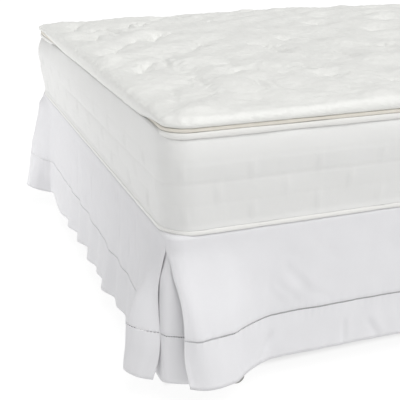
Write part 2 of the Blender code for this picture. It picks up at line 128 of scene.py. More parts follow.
@dataclass(frozen=True)
class Viewpoint:
    """Where the camera stands and how it looks, for the studio and for marks."""

    place: Point = (-1.4591, -2.1445, 1.0112)
    tilt: float = math.radians(20.2546)      # down from level
    pan: float = math.radians(20.3747)       # from +Y towards +X
    lens: float = 69.75                      # in millimetres, as the sensor's width is
    sensor: float = 36.0
    steps: int = 400                         # of a mark, from side to side

    def onto(self, mark: Mark, height: float) -> Place:
        """Follow the line of sight through a mark down to a level.

        Args:
            mark: The place in the view.
            height: The level's height above the floor.

        Returns:
            The place in plan, to the millimetre.
        """
        reach = self.steps * self.lens / self.sensor
        aside = (mark.across - self.steps / 2) / reach
        below = (mark.down - self.steps / 2) / reach
        ahead = math.cos(self.tilt) - below * math.sin(self.tilt)
        fall = math.sin(self.tilt) + below * math.cos(self.tilt)
        far = (self.place[2] - height) / fall
        x = self.place[0] + far * (aside * math.cos(self.pan) + ahead * math.sin(self.pan))
        y = self.place[1] + far * (ahead * math.cos(self.pan) - aside * math.sin(self.pan))
        return round(x, 3), round(y, 3)


VIEW = Viewpoint()


class Stitch(NamedTuple):
    """One curved stitch line of the pillow top: where it starts, bends and ends.

    A mark lies where the camera sees it on the top, and a plain pair in plan, in metres.
    """

    start: Mark | Place
    bend: Mark | Place
    end: Mark | Place
    pull: float = 1.0              # how strongly it draws the pad in


def plumb_rows(waves: Sequence[Place], belly: float) -> list[Fold]:
    """List folds whose hem lies right under where they hang, from place and out."""
    return [Fold(hang, hang, out, belly) for hang, out in waves]


# Soft waves along each side: where they hang, and how far out their hem is.
FOOT_WAVES = (
    (0.266, 0.027), (0.311, 0.016), (0.360, 0.025), (0.412, 0.017), (0.464, 0.039),
    (0.532, 0.022), (0.577, 0.026), (0.618, 0.019), (0.678, 0.032), (0.756, 0.010),
    (0.816, 0.032), (0.876, 0.016), (0.944, 0.034), (1.000, 0.022), (1.078, 0.033),
    (1.157, 0.030),
)
SIDE_WAVES = (
    (0.457, 0.004), (0.528, 0.006), (0.600, 0.009), (0.700, 0.004), (0.810, 0.012),
    (0.920, 0.005), (1.040, 0.014), (1.160, 0.006), (1.270, 0.012), (1.390, 0.004),
    (1.510, 0.013), (1.630, 0.006), (1.740, 0.015),
)

# The foot: a flap at each split, and the waves between them.
FOOT_FOLDS = (
    Fold(0.023, 0.005, 0.037, 0.10),
    Fold(0.045, 0.021, 0.070, 0.45),
    Fold(0.071, 0.051, 0.089, 0.70),
    Fold(0.097, 0.081, 0.073, 0.60),
    Fold(0.127, 0.112, 0.049, 0.45),
    Fold(0.161, 0.154, 0.037, 0.40),
    Fold(0.195, 0.192, 0.038, -0.65),
    Fold(0.229, 0.227, 0.032, -0.65),
    *plumb_rows(FOOT_WAVES, -0.65),
    Fold(1.236, 1.236, 0.023, -0.20),
    Fold(1.296, 1.291, 0.024, -0.05),
    Fold(1.341, 1.303, 0.051, 0.15),
    Fold(1.374, 1.309, 0.084, 0.05, 0.004),
    Fold(1.406, 1.326, 0.105, 0.05, 0.010),
    Fold(1.442, 1.366, 0.099, 0.20, 0.016),
    Fold(1.471, 1.412, 0.086, 0.35, 0.018),
    Fold(1.497, 1.455, 0.068, 0.45, 0.018),
)

# The long side: a flap at the split, then a nearly flat run to the free head end.
SIDE_FOLDS = (
    Fold(-0.007, 0.019, 0.080, 0.72),
    Fold(0.022, 0.042, 0.087, 0.68),
    Fold(0.058, 0.069, 0.095, 0.38),
    Fold(0.096, 0.099, 0.088, 0.35),
    Fold(0.128, 0.128, 0.076, 0.40),
    Fold(0.152, 0.151, 0.053, 0.45),
    Fold(0.183, 0.182, 0.030, 0.45),
    Fold(0.213, 0.213, 0.015, 0.40),
    Fold(0.234, 0.234, 0.005, 0.35),
    Fold(0.262, 0.262, 0.003, 0.35),
    Fold(0.311, 0.311, 0.003, 0.35),
    Fold(0.363, 0.363, 0.005, 0.35),
    Fold(0.393, 0.393, 0.004, 0.35),
    Fold(0.421, 0.421, 0.006, 0.20),
    *plumb_rows(SIDE_WAVES, 0.35),
    Fold(1.850, 1.848, 0.010, 0.30),
    Fold(1.940, 1.935, 0.024, 0.20),
    Fold(2.030, 2.020, 0.036, 0.10),
)

# Soft creases, placed one by one: on the foot, then on the long side.
FOOT_CREASES = (
    Crease((0.680, 0.040), (0.700, 0.170), 0.0022, 0.006),
    Crease((0.402, 0.020), (0.408, 0.075), 0.0020, 0.005),
    Crease((0.374, 0.050), (0.394, 0.180), 0.0022, 0.006),
    Crease((0.300, 0.100), (0.304, 0.170), 0.0018, 0.005),
    Crease((0.560, 0.030), (0.566, 0.120), 0.0014, 0.008),
    Crease((0.880, 0.060), (0.900, 0.190), 0.0020, 0.010),
    Crease((0.235, 0.040), (0.228, 0.150), 0.0014, 0.010),
    Crease((0.098, 0.050), (0.104, 0.210), 0.0020, 0.018),
    Crease((1.120, 0.030), (1.135, 0.150), 0.0016, 0.010),
)

SIDE_CREASES = (
    Crease((0.262, 0.098), (0.332, 0.172), 0.0017, 0.011),
    Crease((0.318, 0.165), (0.392, 0.202), 0.0014, 0.009),
    Crease((0.246, 0.138), (0.306, 0.198), 0.0012, 0.009),
    Crease((0.222, 0.146), (0.280, 0.206), 0.0009, 0.009),
    Crease((0.322, 0.036), (0.418, 0.116), 0.0009, 0.014),
    Crease((0.242, 0.262), (0.206, 0.332), 0.0034, 0.010),
    Crease((0.425, 0.262), (0.430, 0.334), 0.0026, 0.008),
    Crease((0.486, 0.272), (0.524, 0.330), 0.0028, 0.010),
    Crease((0.560, 0.240), (0.600, 0.320), 0.0018, 0.012),
    Crease((0.780, 0.070), (0.850, 0.160), 0.0018, 0.014),
    Crease((1.130, 0.120), (1.210, 0.205), 0.0020, 0.012),
    Crease((1.480, 0.060), (1.545, 0.170), 0.0018, 0.014),
    Crease((1.800, 0.110), (1.840, 0.200), 0.0018, 0.012),
    Crease((0.905, 0.250), (0.935, 0.330), 0.0024, 0.011),
    Crease((1.330, 0.250), (1.300, 0.330), 0.0022, 0.011),
    Crease((1.690, 0.250), (1.715, 0.330), 0.0024, 0.011),
)

# Those that the camera sees, on the half of the pillow top nearer the foot.
TOP_STITCHES = (
    Stitch(Mark(70.9, 26.2), (-0.906, 0.600), Mark(84.5, 21.2), 1.3),
    Stitch(Mark(88.2, 29.4), (-0.850, 0.440), Mark(118.6, 31.2), 1.3),
    Stitch(Mark(91.4, 36.6), Mark(102.3, 32.5), Mark(116.8, 34.4), 1.1),
    Stitch(Mark(125.9, 27.5), (-0.735, 0.500), Mark(153.0, 21.6), 1.6),
    Stitch(Mark(138.6, 26.6), (-0.702, 0.462), Mark(152.0, 23.0), 1.3),
    Stitch(Mark(156.0, 19.5), (-0.562, 0.668), Mark(185.0, 18.0), 1.5),
    Stitch(Mark(109.5, 51.6), Mark(116.8, 47.0), Mark(125.9, 44.4), 0.8),
    Stitch(Mark(125.9, 44.4), (-0.822, 0.140), Mark(138.6, 40.7), 0.8),
    Stitch(Mark(98.6, 52.5), (-0.955, -0.026), Mark(108.6, 55.3), 0.6),
    Stitch(Mark(137.7, 67.5), (-0.908, -0.253), Mark(153.0, 61.2), 0.8),
    Stitch(Mark(153.0, 61.2), (-0.841, -0.208), Mark(163.0, 56.0), 0.8),
    Stitch(Mark(166.5, 61.0), (-0.852, -0.275), Mark(176.0, 65.5), 0.6),
    Stitch(Mark(148.6, 42.0), Mark(153.2, 37.0), Mark(162.3, 34.4), 1.1),
    Stitch(Mark(165.0, 36.0), (-0.687, 0.204), Mark(177.0, 36.0)),
    Stitch(Mark(189.0, 52.0), (-0.690, -0.050), Mark(199.0, 43.0), 0.6),
    Stitch(Mark(199.0, 43.0), (-0.658, -0.025), Mark(206.0, 47.0), 0.6),
    Stitch(Mark(220.0, 65.5), (-0.717, -0.332), Mark(233.0, 66.0), 0.6),
    Stitch(Mark(231.0, 72.0), (-0.715, -0.408), Mark(255.0, 70.5), 0.6),
    Stitch(Mark(188.0, 80.0), (-0.842, -0.445), Mark(214.0, 88.0), 0.4),
    Stitch(Mark(169.0, 83.0), (-0.930, -0.560), Mark(176.0, 96.0), 0.4),
    Stitch(Mark(258.0, 79.0), (-0.731, -0.575), Mark(265.0, 87.0), 0.4),
    Stitch(Mark(266.0, 78.0), (-0.699, -0.570), Mark(281.0, 85.0), 0.4),
    Stitch(Mark(260.0, 45.0), (-0.496, -0.160), Mark(282.0, 54.5)),
    Stitch(Mark(236.0, 12.0), (-0.212, 0.668), Mark(263.0, 12.0)),
    Stitch(Mark(206.0, 14.0), (-0.356, 0.636), Mark(230.0, 15.0), 1.2),
    Stitch(Mark(194.0, 23.0), (-0.507, 0.424), Mark(205.0, 23.5)),
    Stitch(Mark(308.0, 26.4), (-0.166, 0.216), Mark(324.5, 28.0)),
    Stitch(Mark(284.5, 40.5), (-0.364, -0.042), Mark(314.5, 42.3)),
    Stitch(Mark(324.5, 49.0), (-0.355, -0.280), Mark(352.0, 58.0), 0.5),
    Stitch(Mark(323.6, 74.0), (-0.531, -0.536), Mark(338.0, 74.0), 0.6),
    Stitch(Mark(371.0, 46.0), (-0.198, -0.226), Mark(388.0, 47.0)),
    Stitch(Mark(372.0, 31.0), (-0.034, 0.042), Mark(383.0, 31.4)),
    Stitch(Mark(392.0, 77.0), (-0.410, -0.628), Mark(400.0, 78.0), 0.8),
    Stitch(Mark(301.0, 67.0), (-0.553, -0.448), Mark(310.0, 69.0), 0.8),
)


# ---- small tools ------------------------------------------------------------------------
def smooth_step(value: Array) -> Array:
    """Ease from 0 to 1 as the value goes from 0 to 1, level before and after."""
    value = np.clip(value, 0.0, 1.0)
    return value * value * (3 - 2 * value)


def bell(distance: Array, width: float) -> Array:
    """Give a soft bump that is 1 at distance 0 and dies out past the width."""
    return np.exp(-(distance / width) ** 2)


def under_pad(x: Array, y: Array, near: float = TAPE_FREE) -> Array:
    """Give how far the foot's tapes lie tucked away under the pad, from 0 to 1.

    Args:
        x: Places along the bed.
        y: Places across it.
        near: Where across the bed the tape comes out at the near corner.

    Returns:
        Shares.
    """
    inset, inset_ease = 0.05, 0.03
    near_ease = 0.15
    far, far_ease = 0.66, 0.45
    return (smooth_step((inset - HALF_LENGTH - x) / inset_ease)
            * smooth_step((y - near) / near_ease) * smooth_step((far - y) / far_ease))


def on_top(place: Mark | Place) -> Place:
    """Give a stitch's place in plan, whichever way it is written."""
    return VIEW.onto(place, STITCH_HEIGHT) if isinstance(place, Mark) else place


def deselect_all() -> None:
    """Deselect every object, so that the next operator meets its own piece alone."""
    bpy.ops.object.select_all(action="DESELECT")


def pick(piece: Piece) -> None:
    """Make one piece the only selected and the active one.

    Args:
        piece: The piece.
    """
    deselect_all()
    piece.select_set(True)
    bpy.context.view_layer.objects.active = piece


def apply_all(piece: Piece) -> None:
    """Apply a piece's modifiers in order, and put its place into its mesh.

    Args:
        piece: The piece.
    """
    pick(piece)
    for modifier in list(piece.modifiers):
        bpy.ops.object.modifier_apply(modifier=modifier.name)
    bpy.ops.object.transform_apply(location=True, rotation=True, scale=True)
    deselect_all()


@contextmanager
def editing(piece: Piece) -> Iterator[None]:
    """Hold a piece in edit mode, with everything on it selected at the start.

    Args:
        piece: The piece.

    Returns:
        The context in which it is edited.
    """
    pick(piece)
    bpy.ops.object.mode_set(mode="EDIT")
    bpy.ops.mesh.select_all(action="SELECT")
    yield
    bpy.ops.object.mode_set(mode="OBJECT")
    deselect_all()


def thicken(sheet: Piece, thickness: float) -> None:
    """Give a sheet its thickness, half of it on each side.

    Args:
        sheet: The sheet, as one layer of faces.
        thickness: From face to face.
    """
    wall = sheet.modifiers.new("Thickness", "SOLIDIFY")
    wall.thickness = thickness
    wall.offset = 0.0
    apply_all(sheet)


def soften(piece: Piece, width: float, segments: int,
           limit: float = math.radians(30)) -> None:
    """Round a piece's edges a little.

    Args:
        piece: The piece.
        width: Width of the round.
        segments: Number of faces across it.
        limit: The least turn between faces that is rounded.
    """
    soft = piece.modifiers.new("Soft edges", "BEVEL")
    soft.width = width
    soft.segments = segments
    soft.limit_method = "ANGLE"
    soft.angle_limit = limit
    apply_all(piece)


def smooth_by_angle(piece: Piece, degrees: float) -> None:
    """Shade a piece smooth, but for its sharper edges.

    Args:
        piece: The piece.
        degrees: The turn between faces past which an edge is sharp.
    """
    pick(piece)
    bpy.ops.object.shade_smooth_by_angle(angle=math.radians(degrees))
    deselect_all()


def cut_level(height: float, **how: object) -> None:
    """Cut the piece in edit mode all round, at a height above the floor."""
    bpy.ops.mesh.select_all(action="SELECT")
    bpy.ops.mesh.bisect(plane_co=(0, 0, height), **{"plane_no": (0, 0, 1), **how})


def dress(piece: Piece, finish: bpy.types.Material, node: str) -> None:
    """Give a piece its finish, hang it on the root body, and hide the frame's node that it
    takes the place of.

    Args:
        piece: The finished piece.
        finish: Its material.
        node: The frame's node that it takes the place of.
    """
    piece.data.materials.append(finish)
    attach(piece, "root")
    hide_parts(node)
    LOG.info("%s: %d faces", piece.name, len(piece.data.polygons))


def choose(piece: Piece, faces: Test | None = None, edges: Test | None = None) -> None:
    """Select faces or edges of the piece in edit mode, by their place and direction.

    Args:
        piece: The object in edit mode.
        faces: Says of a face's centre and normal whether it is chosen.
        edges: Says of an edge's middle and direction whether it is chosen.
    """
    bm = bmesh.from_edit_mesh(piece.data)
    bm.select_mode = {"FACE"} if faces else {"EDGE"}
    for face in bm.faces:
        face.select_set(False)
    for edge in bm.edges:
        edge.select_set(False)
    if faces:
        for face in bm.faces:
            face.select_set(faces(face.calc_center_median(), face.normal))
    if edges:
        for edge in bm.edges:
            low, high = edge.verts[0].co, edge.verts[1].co
            edge.select_set(edges((low + high) / 2, (high - low).normalized()))
    bm.select_flush_mode()
    bmesh.update_edit_mesh(piece.data)


def name_new(name: str) -> Piece:
    """Name the piece that an operator has just added, and its mesh."""
    piece = bpy.context.active_object
    piece.name = piece.data.name = name
    return piece


def add_box(name: str, low: Point, high: Point) -> Piece:
    """Add a cube, scale it to span two corners, and leave it in object mode.

    Args:
        name: The piece's name.
        low: Its lowest corner.
        high: Its highest corner.

    Returns:
        The new piece, its size in its mesh.
    """
    deselect_all()
    centre = (Vector(low) + Vector(high)) / 2
    bpy.ops.mesh.primitive_cube_add(size=1.0, location=centre)
    piece = name_new(name)
    piece.scale = Vector(high) - Vector(low)
    bpy.ops.object.transform_apply(location=True, rotation=True, scale=True)
    return piece


def grid_piece(name: str, points: Array, pattern: Array,
               open_cells: Array | None = None, ring: bool = False) -> Piece:
    """Make a mesh of a grid of points, with its pattern coordinates in metres.

    Args:
        name: The piece's name.
        points: Places, as columns by rows by 3.
        pattern: Pattern coordinates, as columns by rows by 2.
        open_cells: True for each cell, columns by rows, that is left open.
        ring: Whether the last column joins the first.

    Returns:
        The new piece.
    """
    columns, rows = points.shape[:2]
    index = np.arange(columns * rows).reshape(columns, rows)
    near, far = (index, np.roll(index, -1, axis=0)) if ring else (index[:-1], index[1:])
    cells = np.stack([near[:, :-1], far[:, :-1], far[:, 1:], near[:, 1:]], axis=-1)
    cells = cells.reshape(-1, 4)
    corners = pattern.reshape(-1, 2)[cells]
    if ring:
        last = cells[:, 1] < rows
        turn = np.linalg.norm(points[0] - points[-1], axis=-1)[0]
        corners[last, 1:3, 0] = pattern[-1, 0, 0] + turn
    if open_cells is not None:
        kept = ~open_cells.reshape(-1)
        cells, corners = cells[kept], corners[kept]
    mesh = bpy.data.meshes.new(name)
    mesh.from_pydata(points.reshape(-1, 3).tolist(), [], cells.tolist())
    layer = mesh.uv_layers.new(name="Pattern")
    layer.data.foreach_set("uv", corners.reshape(-1).astype(np.float32))
    mesh.validate()
    mesh.shade_smooth()
    piece = bpy.data.objects.new(name, mesh)
    bpy.context.scene.collection.objects.link(piece)
    return piece


def grid_normals(points: Array, ring: bool = False) -> Array:
    """Give the unit normals of a grid, on the side that the columns' turn leaves.

    Args:
        points: Places, as columns by rows by 3.
        ring: Whether the last column joins the first.

    Returns:
        Directions, of the same shape.
    """
    if ring:
        padded = np.concatenate([points[-1:], points, points[:1]])
        across = np.gradient(padded, axis=0)[1:-1]
    else:
        across = np.gradient(points, axis=0)
    down = np.gradient(points, axis=1)
    normals = np.cross(across, down)
    return normals / np.maximum(np.linalg.norm(normals, axis=-1, keepdims=True), 1e-12)


def spread(across: Array, down: Array) -> Array:
    """Pair each column's value with each row's, as columns by rows by 2."""
    return np.stack(np.broadcast_arrays(across[:, None], down[None, :]), axis=-1)


def cap_ends(piece: Piece) -> None:
    """Close a ring-shaped shell by filling its open edges.

    Args:
        piece: The shell.
    """
    with editing(piece):
        bpy.ops.mesh.select_all(action="DESELECT")
        bpy.ops.mesh.select_mode(type="EDGE")
        bpy.ops.mesh.select_non_manifold()
        bpy.ops.mesh.edge_face_add()
        bpy.ops.mesh.select_all(action="SELECT")
        bpy.ops.mesh.normals_make_consistent(inside=False)


@dataclass(frozen=True)
class Ripple:
    """A gentle unevenness: a fixed sum of waves that run every way."""

    seed: int
    height: float
    shortest: float
    longest: float
    waves: int = 22

    def at(self, across: Array, down: Array) -> Array:
        """Give the unevenness at places on a surface.

        Args:
            across: First coordinates, in metres.
            down: Second coordinates, of the same shape.

        Returns:
            Heights, in metres.
        """
        draw = np.random.default_rng(self.seed)
        lengths = np.exp(draw.uniform(math.log(self.shortest), math.log(self.longest),
                                      self.waves))
        turns = draw.uniform(0, 2 * math.pi, self.waves)
        phases = draw.uniform(0, 2 * math.pi, self.waves)
        total = np.zeros(np.broadcast(across, down).shape)
        for length, turn, phase in zip(lengths, turns, phases):
            way = across * math.cos(turn) + down * math.sin(turn)
            total += np.sin(way * (2 * math.pi / length) + phase)
        return total * (self.height / math.sqrt(self.waves / 2))


# ---- finishes ---------------------------------------------------------------------------
class Weave(Enum):
    """How a cloth's threads run."""

    PLAIN = "plain"
    TWILL = "twill"


class Tree:
    """A material's node tree, with short calls that add nodes and join them."""

    def __init__(self, name: str) -> None:
        """Start a material with its Principled shader alone.

        Args:
            name: The material's name.
        """
        self.material = bpy.data.materials.new(name)
        self.material.use_nodes = True
        self.tree = self.material.node_tree
        self.shader = self.tree.nodes["Principled BSDF"]

    def add(self, kind: str, **values: object) -> bpy.types.Node:
        """Add a node.

        Args:
            kind: The node's type name, without its "ShaderNode" start.
            values: Its properties, or its inputs by name with spaces as underscores.

        Returns:
            The node.
        """
        node = self.tree.nodes.new("ShaderNode" + kind)
        for key, value in values.items():
            if hasattr(node, key):
                setattr(node, key, value)
            else:
                node.inputs[key.replace("_", " ")].default_value = value
        return node

    def join(self, source: Socket, target: Socket) -> None:
        """Link an output to an input."""
        self.tree.links.new(source, target)

    def blend(self, share: Socket, low: Colour, high: Colour) -> Socket:
        """Mix two colours by a share.

        Args:
            share: The output that says how far to go from low to high.
            low: The colour at 0.
            high: The colour at 1.

        Returns:
            The mixed colour's output.
        """
        mix = self.add("MixRGB")
        mix.inputs["Color1"].default_value = (*low, 1.0)
        mix.inputs["Color2"].default_value = (*high, 1.0)
        self.join(share, mix.inputs["Fac"])
        return mix.outputs["Color"]

    def relief(self, height: Socket, distance: float,
               under: Socket | None = None) -> Socket:
        """Turn a height into a bump.

        Args:
            height: The output that gives the height, from 0 to 1.
            distance: The relief's real height, in metres.
            under: The bump that this one lies on.

        Returns:
            The bumped normal's output.
        """
        bump = self.add("Bump", Strength=1.0, Distance=distance)
        self.join(height, bump.inputs["Height"])
        if under is not None:
            self.join(under, bump.inputs["Normal"])
        return bump.outputs["Normal"]


@dataclass(frozen=True)
class Finish:
    """What every finish has."""

    name: str
    colour: Colour
    roughness: float
    metallic: float = 0.0

    def start(self) -> Tree:
        """Start the finish's node tree, with its even values on the shader.

        Returns:
            The tree.
        """
        tree = Tree(self.name)
        tree.shader.inputs["Base Color"].default_value = (*self.colour, 1.0)
        tree.shader.inputs["Roughness"].default_value = self.roughness
        tree.shader.inputs["Metallic"].default_value = self.metallic
        return tree

    def shade(self, share: float) -> Colour:
        """Give the colour, made lighter or darker by a share."""
        red, green, blue = (min(part * (1 + share), 1.0) for part in self.colour)
        return red, green, blue


@dataclass(frozen=True)
class ClothFinish(Finish):
    """A woven or knitted cloth: threads, mottle and a soft crumple."""

    weave: Weave = Weave.PLAIN
    pitch: float = 0.0009            # between threads
    relief: float = 0.00012          # of a thread
    mottle: float = 0.02             # how uneven the colour is
    crumple: float = 0.0006          # depth of the soft crumple
    crumple_size: float = 0.030
    blot_size: float = 0.07          # of the colour's unevenness
    thread_shade: float = 0.10       # how much darker it is between threads
    sheen: float = 0.12

    def build(self) -> bpy.types.Material:
        """Make the cloth's material.

        Returns:
            The material, patterned by the piece's own Pattern coordinates.
        """
        tree = self.start()
        tree.shader.inputs["Sheen Weight"].default_value = self.sheen
        place = tree.add("UVMap", uv_map="Pattern").outputs["UV"]
        threads = self._threads(tree, place)
        blot = tree.add("TexNoise", Scale=1 / self.blot_size, Detail=3.0, Roughness=0.55)
        tree.join(place, blot.inputs["Vector"])
        colour = tree.blend(blot.outputs["Fac"], self.shade(-self.mottle),
                            self.shade(self.mottle))
        dark = tree.add("MixRGB", blend_type="MULTIPLY", Fac=self.thread_shade)
        tree.join(colour, dark.inputs["Color1"])
        tree.join(threads, dark.inputs["Color2"])
        tree.join(dark.outputs["Color"], tree.shader.inputs["Base Color"])
        soft = tree.add("TexNoise", Scale=1 / self.crumple_size, Detail=2.5,
                        Roughness=0.5, Distortion=0.4)
        tree.join(place, soft.inputs["Vector"])
        under = tree.relief(soft.outputs["Fac"], self.crumple)
        normal = tree.relief(threads, self.relief, under)
        tree.join(normal, tree.shader.inputs["Normal"])
        return tree.material

    def _threads(self, tree: Tree, place: Socket) -> Socket:
        """Give the height of the threads.

        Args:
            tree: The finish's node tree.
            place: The pattern coordinates' output.

        Returns:
            The output that is 1 on a thread's crown and 0 beside it.
        """
        radians_a_unit = 20          # that a wave texture runs through at a scale of 1
        scale = 2 * math.pi / (radians_a_unit * self.pitch)
        if self.weave is Weave.TWILL:
            bands = tree.add("TexWave", bands_direction="DIAGONAL", Scale=scale)
            tree.join(place, bands.inputs["Vector"])
            return bands.outputs["Fac"]
        warp = tree.add("TexWave", bands_direction="X", Scale=scale, Distortion=0.3)
        weft = tree.add("TexWave", bands_direction="Y", Scale=scale, Distortion=0.3)
        both = tree.add("Math", operation="MULTIPLY")
        for number, bands in enumerate((warp, weft)):
            tree.join(place, bands.inputs["Vector"])
            tree.join(bands.outputs["Fac"], both.inputs[number])
        return both.outputs["Value"]


@dataclass(frozen=True)
class HardFinish(Finish):
    """Paint or plastic: a fine grain, and duller and lighter where it is worn."""

    grain: float = 0.004             # size of the grain
    grain_depth: float = 0.00008
    wear: float = 0.15               # how much lighter it is where it is worn
    wear_size: float = 0.035
    wear_range: Span = (0.50, 0.72)      # of the noise, from new to worn
    gloss_range: Span = (-0.06, 0.12)    # round its roughness

    def build(self) -> bpy.types.Material:
        """Make the material, patterned by the piece's object coordinates.

        Returns:
            The material.
        """
        tree = self.start()
        place = tree.add("TexCoord").outputs["Object"]
        grain = tree.add("TexNoise", Scale=1 / self.grain, Detail=4.0)
        tree.join(place, grain.inputs["Vector"])
        worn = tree.add("TexNoise", Scale=1 / self.wear_size, Detail=6.0, Roughness=0.7)
        tree.join(place, worn.inputs["Vector"])
        edge = tree.add("ValToRGB")
        for stop, position in zip(edge.color_ramp.elements, self.wear_range):
            stop.position = position
        tree.join(worn.outputs["Fac"], edge.inputs["Fac"])
        colour = tree.blend(edge.outputs["Color"], self.colour, self.shade(self.wear))
        tree.join(colour, tree.shader.inputs["Base Color"])
        gloss = tree.add("MapRange")
        for end, change in zip(("To Min", "To Max"), self.gloss_range):
            gloss.inputs[end].default_value = self.roughness + change
        tree.join(worn.outputs["Fac"], gloss.inputs["Value"])
        tree.join(gloss.outputs["Result"], tree.shader.inputs["Roughness"])
        normal = tree.relief(grain.outputs["Fac"], self.grain_depth)
        tree.join(normal, tree.shader.inputs["Normal"])
        return tree.material


COTTON = ClothFinish("skirt_cotton", (0.785, 0.782, 0.800), 0.88)
TICKING = ClothFinish("mattress_ticking", (0.768, 0.768, 0.756), 0.42, pitch=0.0013,
                      relief=0.00012, mottle=0.008, crumple=0.0008, crumple_size=0.040,
                      sheen=0.05)
# The pad's ticking is a lighter copy of the border's: partly its own slightly yellower tint,
# partly painted light that makes the top read brighter than the sides.
LIGHTENED_PAD_TICKING = replace(TICKING, name="pillow_ticking_painted_light", colour=(0.840, 0.842, 0.814),
                      crumple=0.0018, crumple_size=0.017)
TAPE = ClothFinish("binding_tape", (0.800, 0.796, 0.772), 0.42, weave=Weave.TWILL,
                   pitch=0.0016, relief=0.00015, crumple=0.0003, crumple_size=0.020)
# The pillow tape's colour is browned and darkened to stand for the shade in the groove under
# the pad's lip: painted shade over the tape's own tint.
GROOVE_SHADED_TAPE = ClothFinish("tape_with_painted_groove_shade", (0.75, 0.715, 0.640), 0.6, weave=Weave.TWILL,
                        pitch=0.0016, relief=0.00015, crumple=0.0003, crumple_size=0.020)
BOX_COVER = ClothFinish("box_spring_cloth", (0.74, 0.74, 0.70), 0.85, pitch=0.0014,
                        relief=0.0002, crumple=0.0012, crumple_size=0.060)
STEEL = HardFinish("frame_steel", (0.10, 0.10, 0.11), 0.42, metallic=0.4)
PLASTIC = HardFinish("glide_plastic", (0.24, 0.24, 0.22), 0.45, wear=0.15)


# ---- the skirt --------------------------------------------------------------------------
@dataclass(frozen=True)
class Run:
    """One side of the skirt: its near corner in plan, and its directions."""

    corner: Place
    along: Place
    out: Place
    length: float
    far_corner: bool                 # whether its far end is a split corner too

    def place(self, along: Array, out: Array, height: Array) -> Array:
        """Turn distances along, outward and up into points.

        Args:
            along: Distances along the side, from its near corner.
            out: Distances out from the side's plane.
            height: Heights above the floor.

        Returns:
            Points, with a last axis of 3.
        """
        along, out, height = np.broadcast_arrays(along, out, height)
        return np.stack([self.corner[0] + self.along[0] * along + self.out[0] * out,
                         self.corner[1] + self.along[1] * along + self.out[1] * out,
                         height], axis=-1)

    def top(self, hang: Array, inset: Array) -> tuple[Array, Array]:
        """Follow the top edge's path, round the arc of a corner and along the side.

        Args:
            hang: Distances along the path.
            inset: Distances in from the skirt's plane.

        Returns:
            Distances along the side, and out from its plane.
        """
        from_far = self.far_corner & (hang > self.length / 2)
        near = np.where(from_far, self.length - hang, hang)
        turn = (CORNER_RADIUS - near) / CORNER_RADIUS
        on_arc = near < CORNER_RADIUS
        reach = CORNER_RADIUS - inset
        along = np.where(on_arc, CORNER_RADIUS - reach * np.sin(turn), near)
        out = np.where(on_arc, reach * np.cos(turn) - CORNER_RADIUS, -inset)
        return np.where(from_far, self.length - along, along), out


FOOT_RUN = Run((-HALF_LENGTH, -HALF_WIDTH), (0, 1), (-1, 0), BED_WIDTH, True)
FRONT_RUN = Run((-HALF_LENGTH, -HALF_WIDTH), (1, 0), (0, -1), BED_LENGTH, False)
BACK_RUN = Run((-HALF_LENGTH, HALF_WIDTH), (1, 0), (0, 1), BED_LENGTH, False)


@dataclass(frozen=True)
class Hem:
    """The deep hem: a ladder of drawn-thread holes, and the turned-up layer under it."""

    depth: float = 0.114
    hole: float = 0.0030             # height of a hole
    gap: float = 0.0026              # width of a hole
    bar: float = 0.0017              # and of the bundle of threads beside it
    edge: float = 0.0014             # height of the turned-up layer's top edge
    proud: float = 0.0007            # how far that edge stands out
    layer: float = 0.0003            # and the rest of the hem
    edge_fade: float = 0.004         # how far below the edge it settles
    pucker: float = 0.0004           # height of the small gathers beside the ladder
    pucker_reach: float = 0.014      # and how far they run up and down
    pucker_length: float = 0.019
    drift: float = 2.2               # how unevenly they follow each other, in radians
    drift_pace: float = 37.0         # and how fast that changes, in radians to a metre
    row: float = 0.0098              # height of the plain rows of the grid

    def columns(self, start: float, end: float) -> Array:
        """Give the grid's columns: bars and holes by turns, with a bar at each end.

        Args:
            start: Where the sheet begins.
            end: Where it ends.

        Returns:
            The places of the columns' edges.
        """
        holes = round((end - start - self.bar) / (self.gap + self.bar))
        widths = np.append(np.tile([self.bar, self.gap], holes), self.bar)
        places = np.concatenate([[0.0], np.cumsum(widths)])
        return start + places * (end - start) / places[-1]

    def falls(self) -> tuple[Array, int]:
        """Give the grid's rows, as distances down from the round.

        Returns:
            The distances, and the index of the row of holes.
        """
        top = FALL - self.depth
        above = np.linspace(0.0, top, math.ceil(top / self.row) + 1)
        under = top + self.hole + self.edge
        below = np.linspace(under, FALL, math.ceil((FALL - under) / self.row) + 1)
        return np.concatenate([above, [top + self.hole], below]), len(above) - 1

    def raised(self, fall: Array, across: Array) -> Array:
        """Give how far the cloth stands out because of the hem.

        Args:
            fall: Distances down from the round.
            across: Distances across the sheet.

        Returns:
            Distances out from the single cloth's surface.
        """
        past = fall - (FALL - self.depth + self.hole)
        inside = past > -self.hole / 4
        turned = (self.layer + (self.proud - self.layer)
                  * bell(past - self.edge, self.edge_fade))
        gather = np.sin(across * 2 * math.pi / self.pucker_length
                        + self.drift * np.sin(across * self.drift_pace))
        return (np.where(inside, turned, 0.0)
                + self.pucker * gather * bell(past, self.pucker_reach))


def swing(share: Array, belly: Array) -> Array:
    """Give how far a thread has swung out after a share of its free fall.

    Args:
        share: Shares of the free fall.
        belly: 0 for an even swing, 1 for one that is over early, below 0 for a late one.

    Returns:
        Shares of the swing.
    """
    soft_start, belly_full = 0.08, 0.66
    share = np.maximum(share, 0.0)
    even = share ** 2 / (share + soft_start) * (1 + soft_start)
    return even + (smooth_step(share / belly_full) - even) * belly


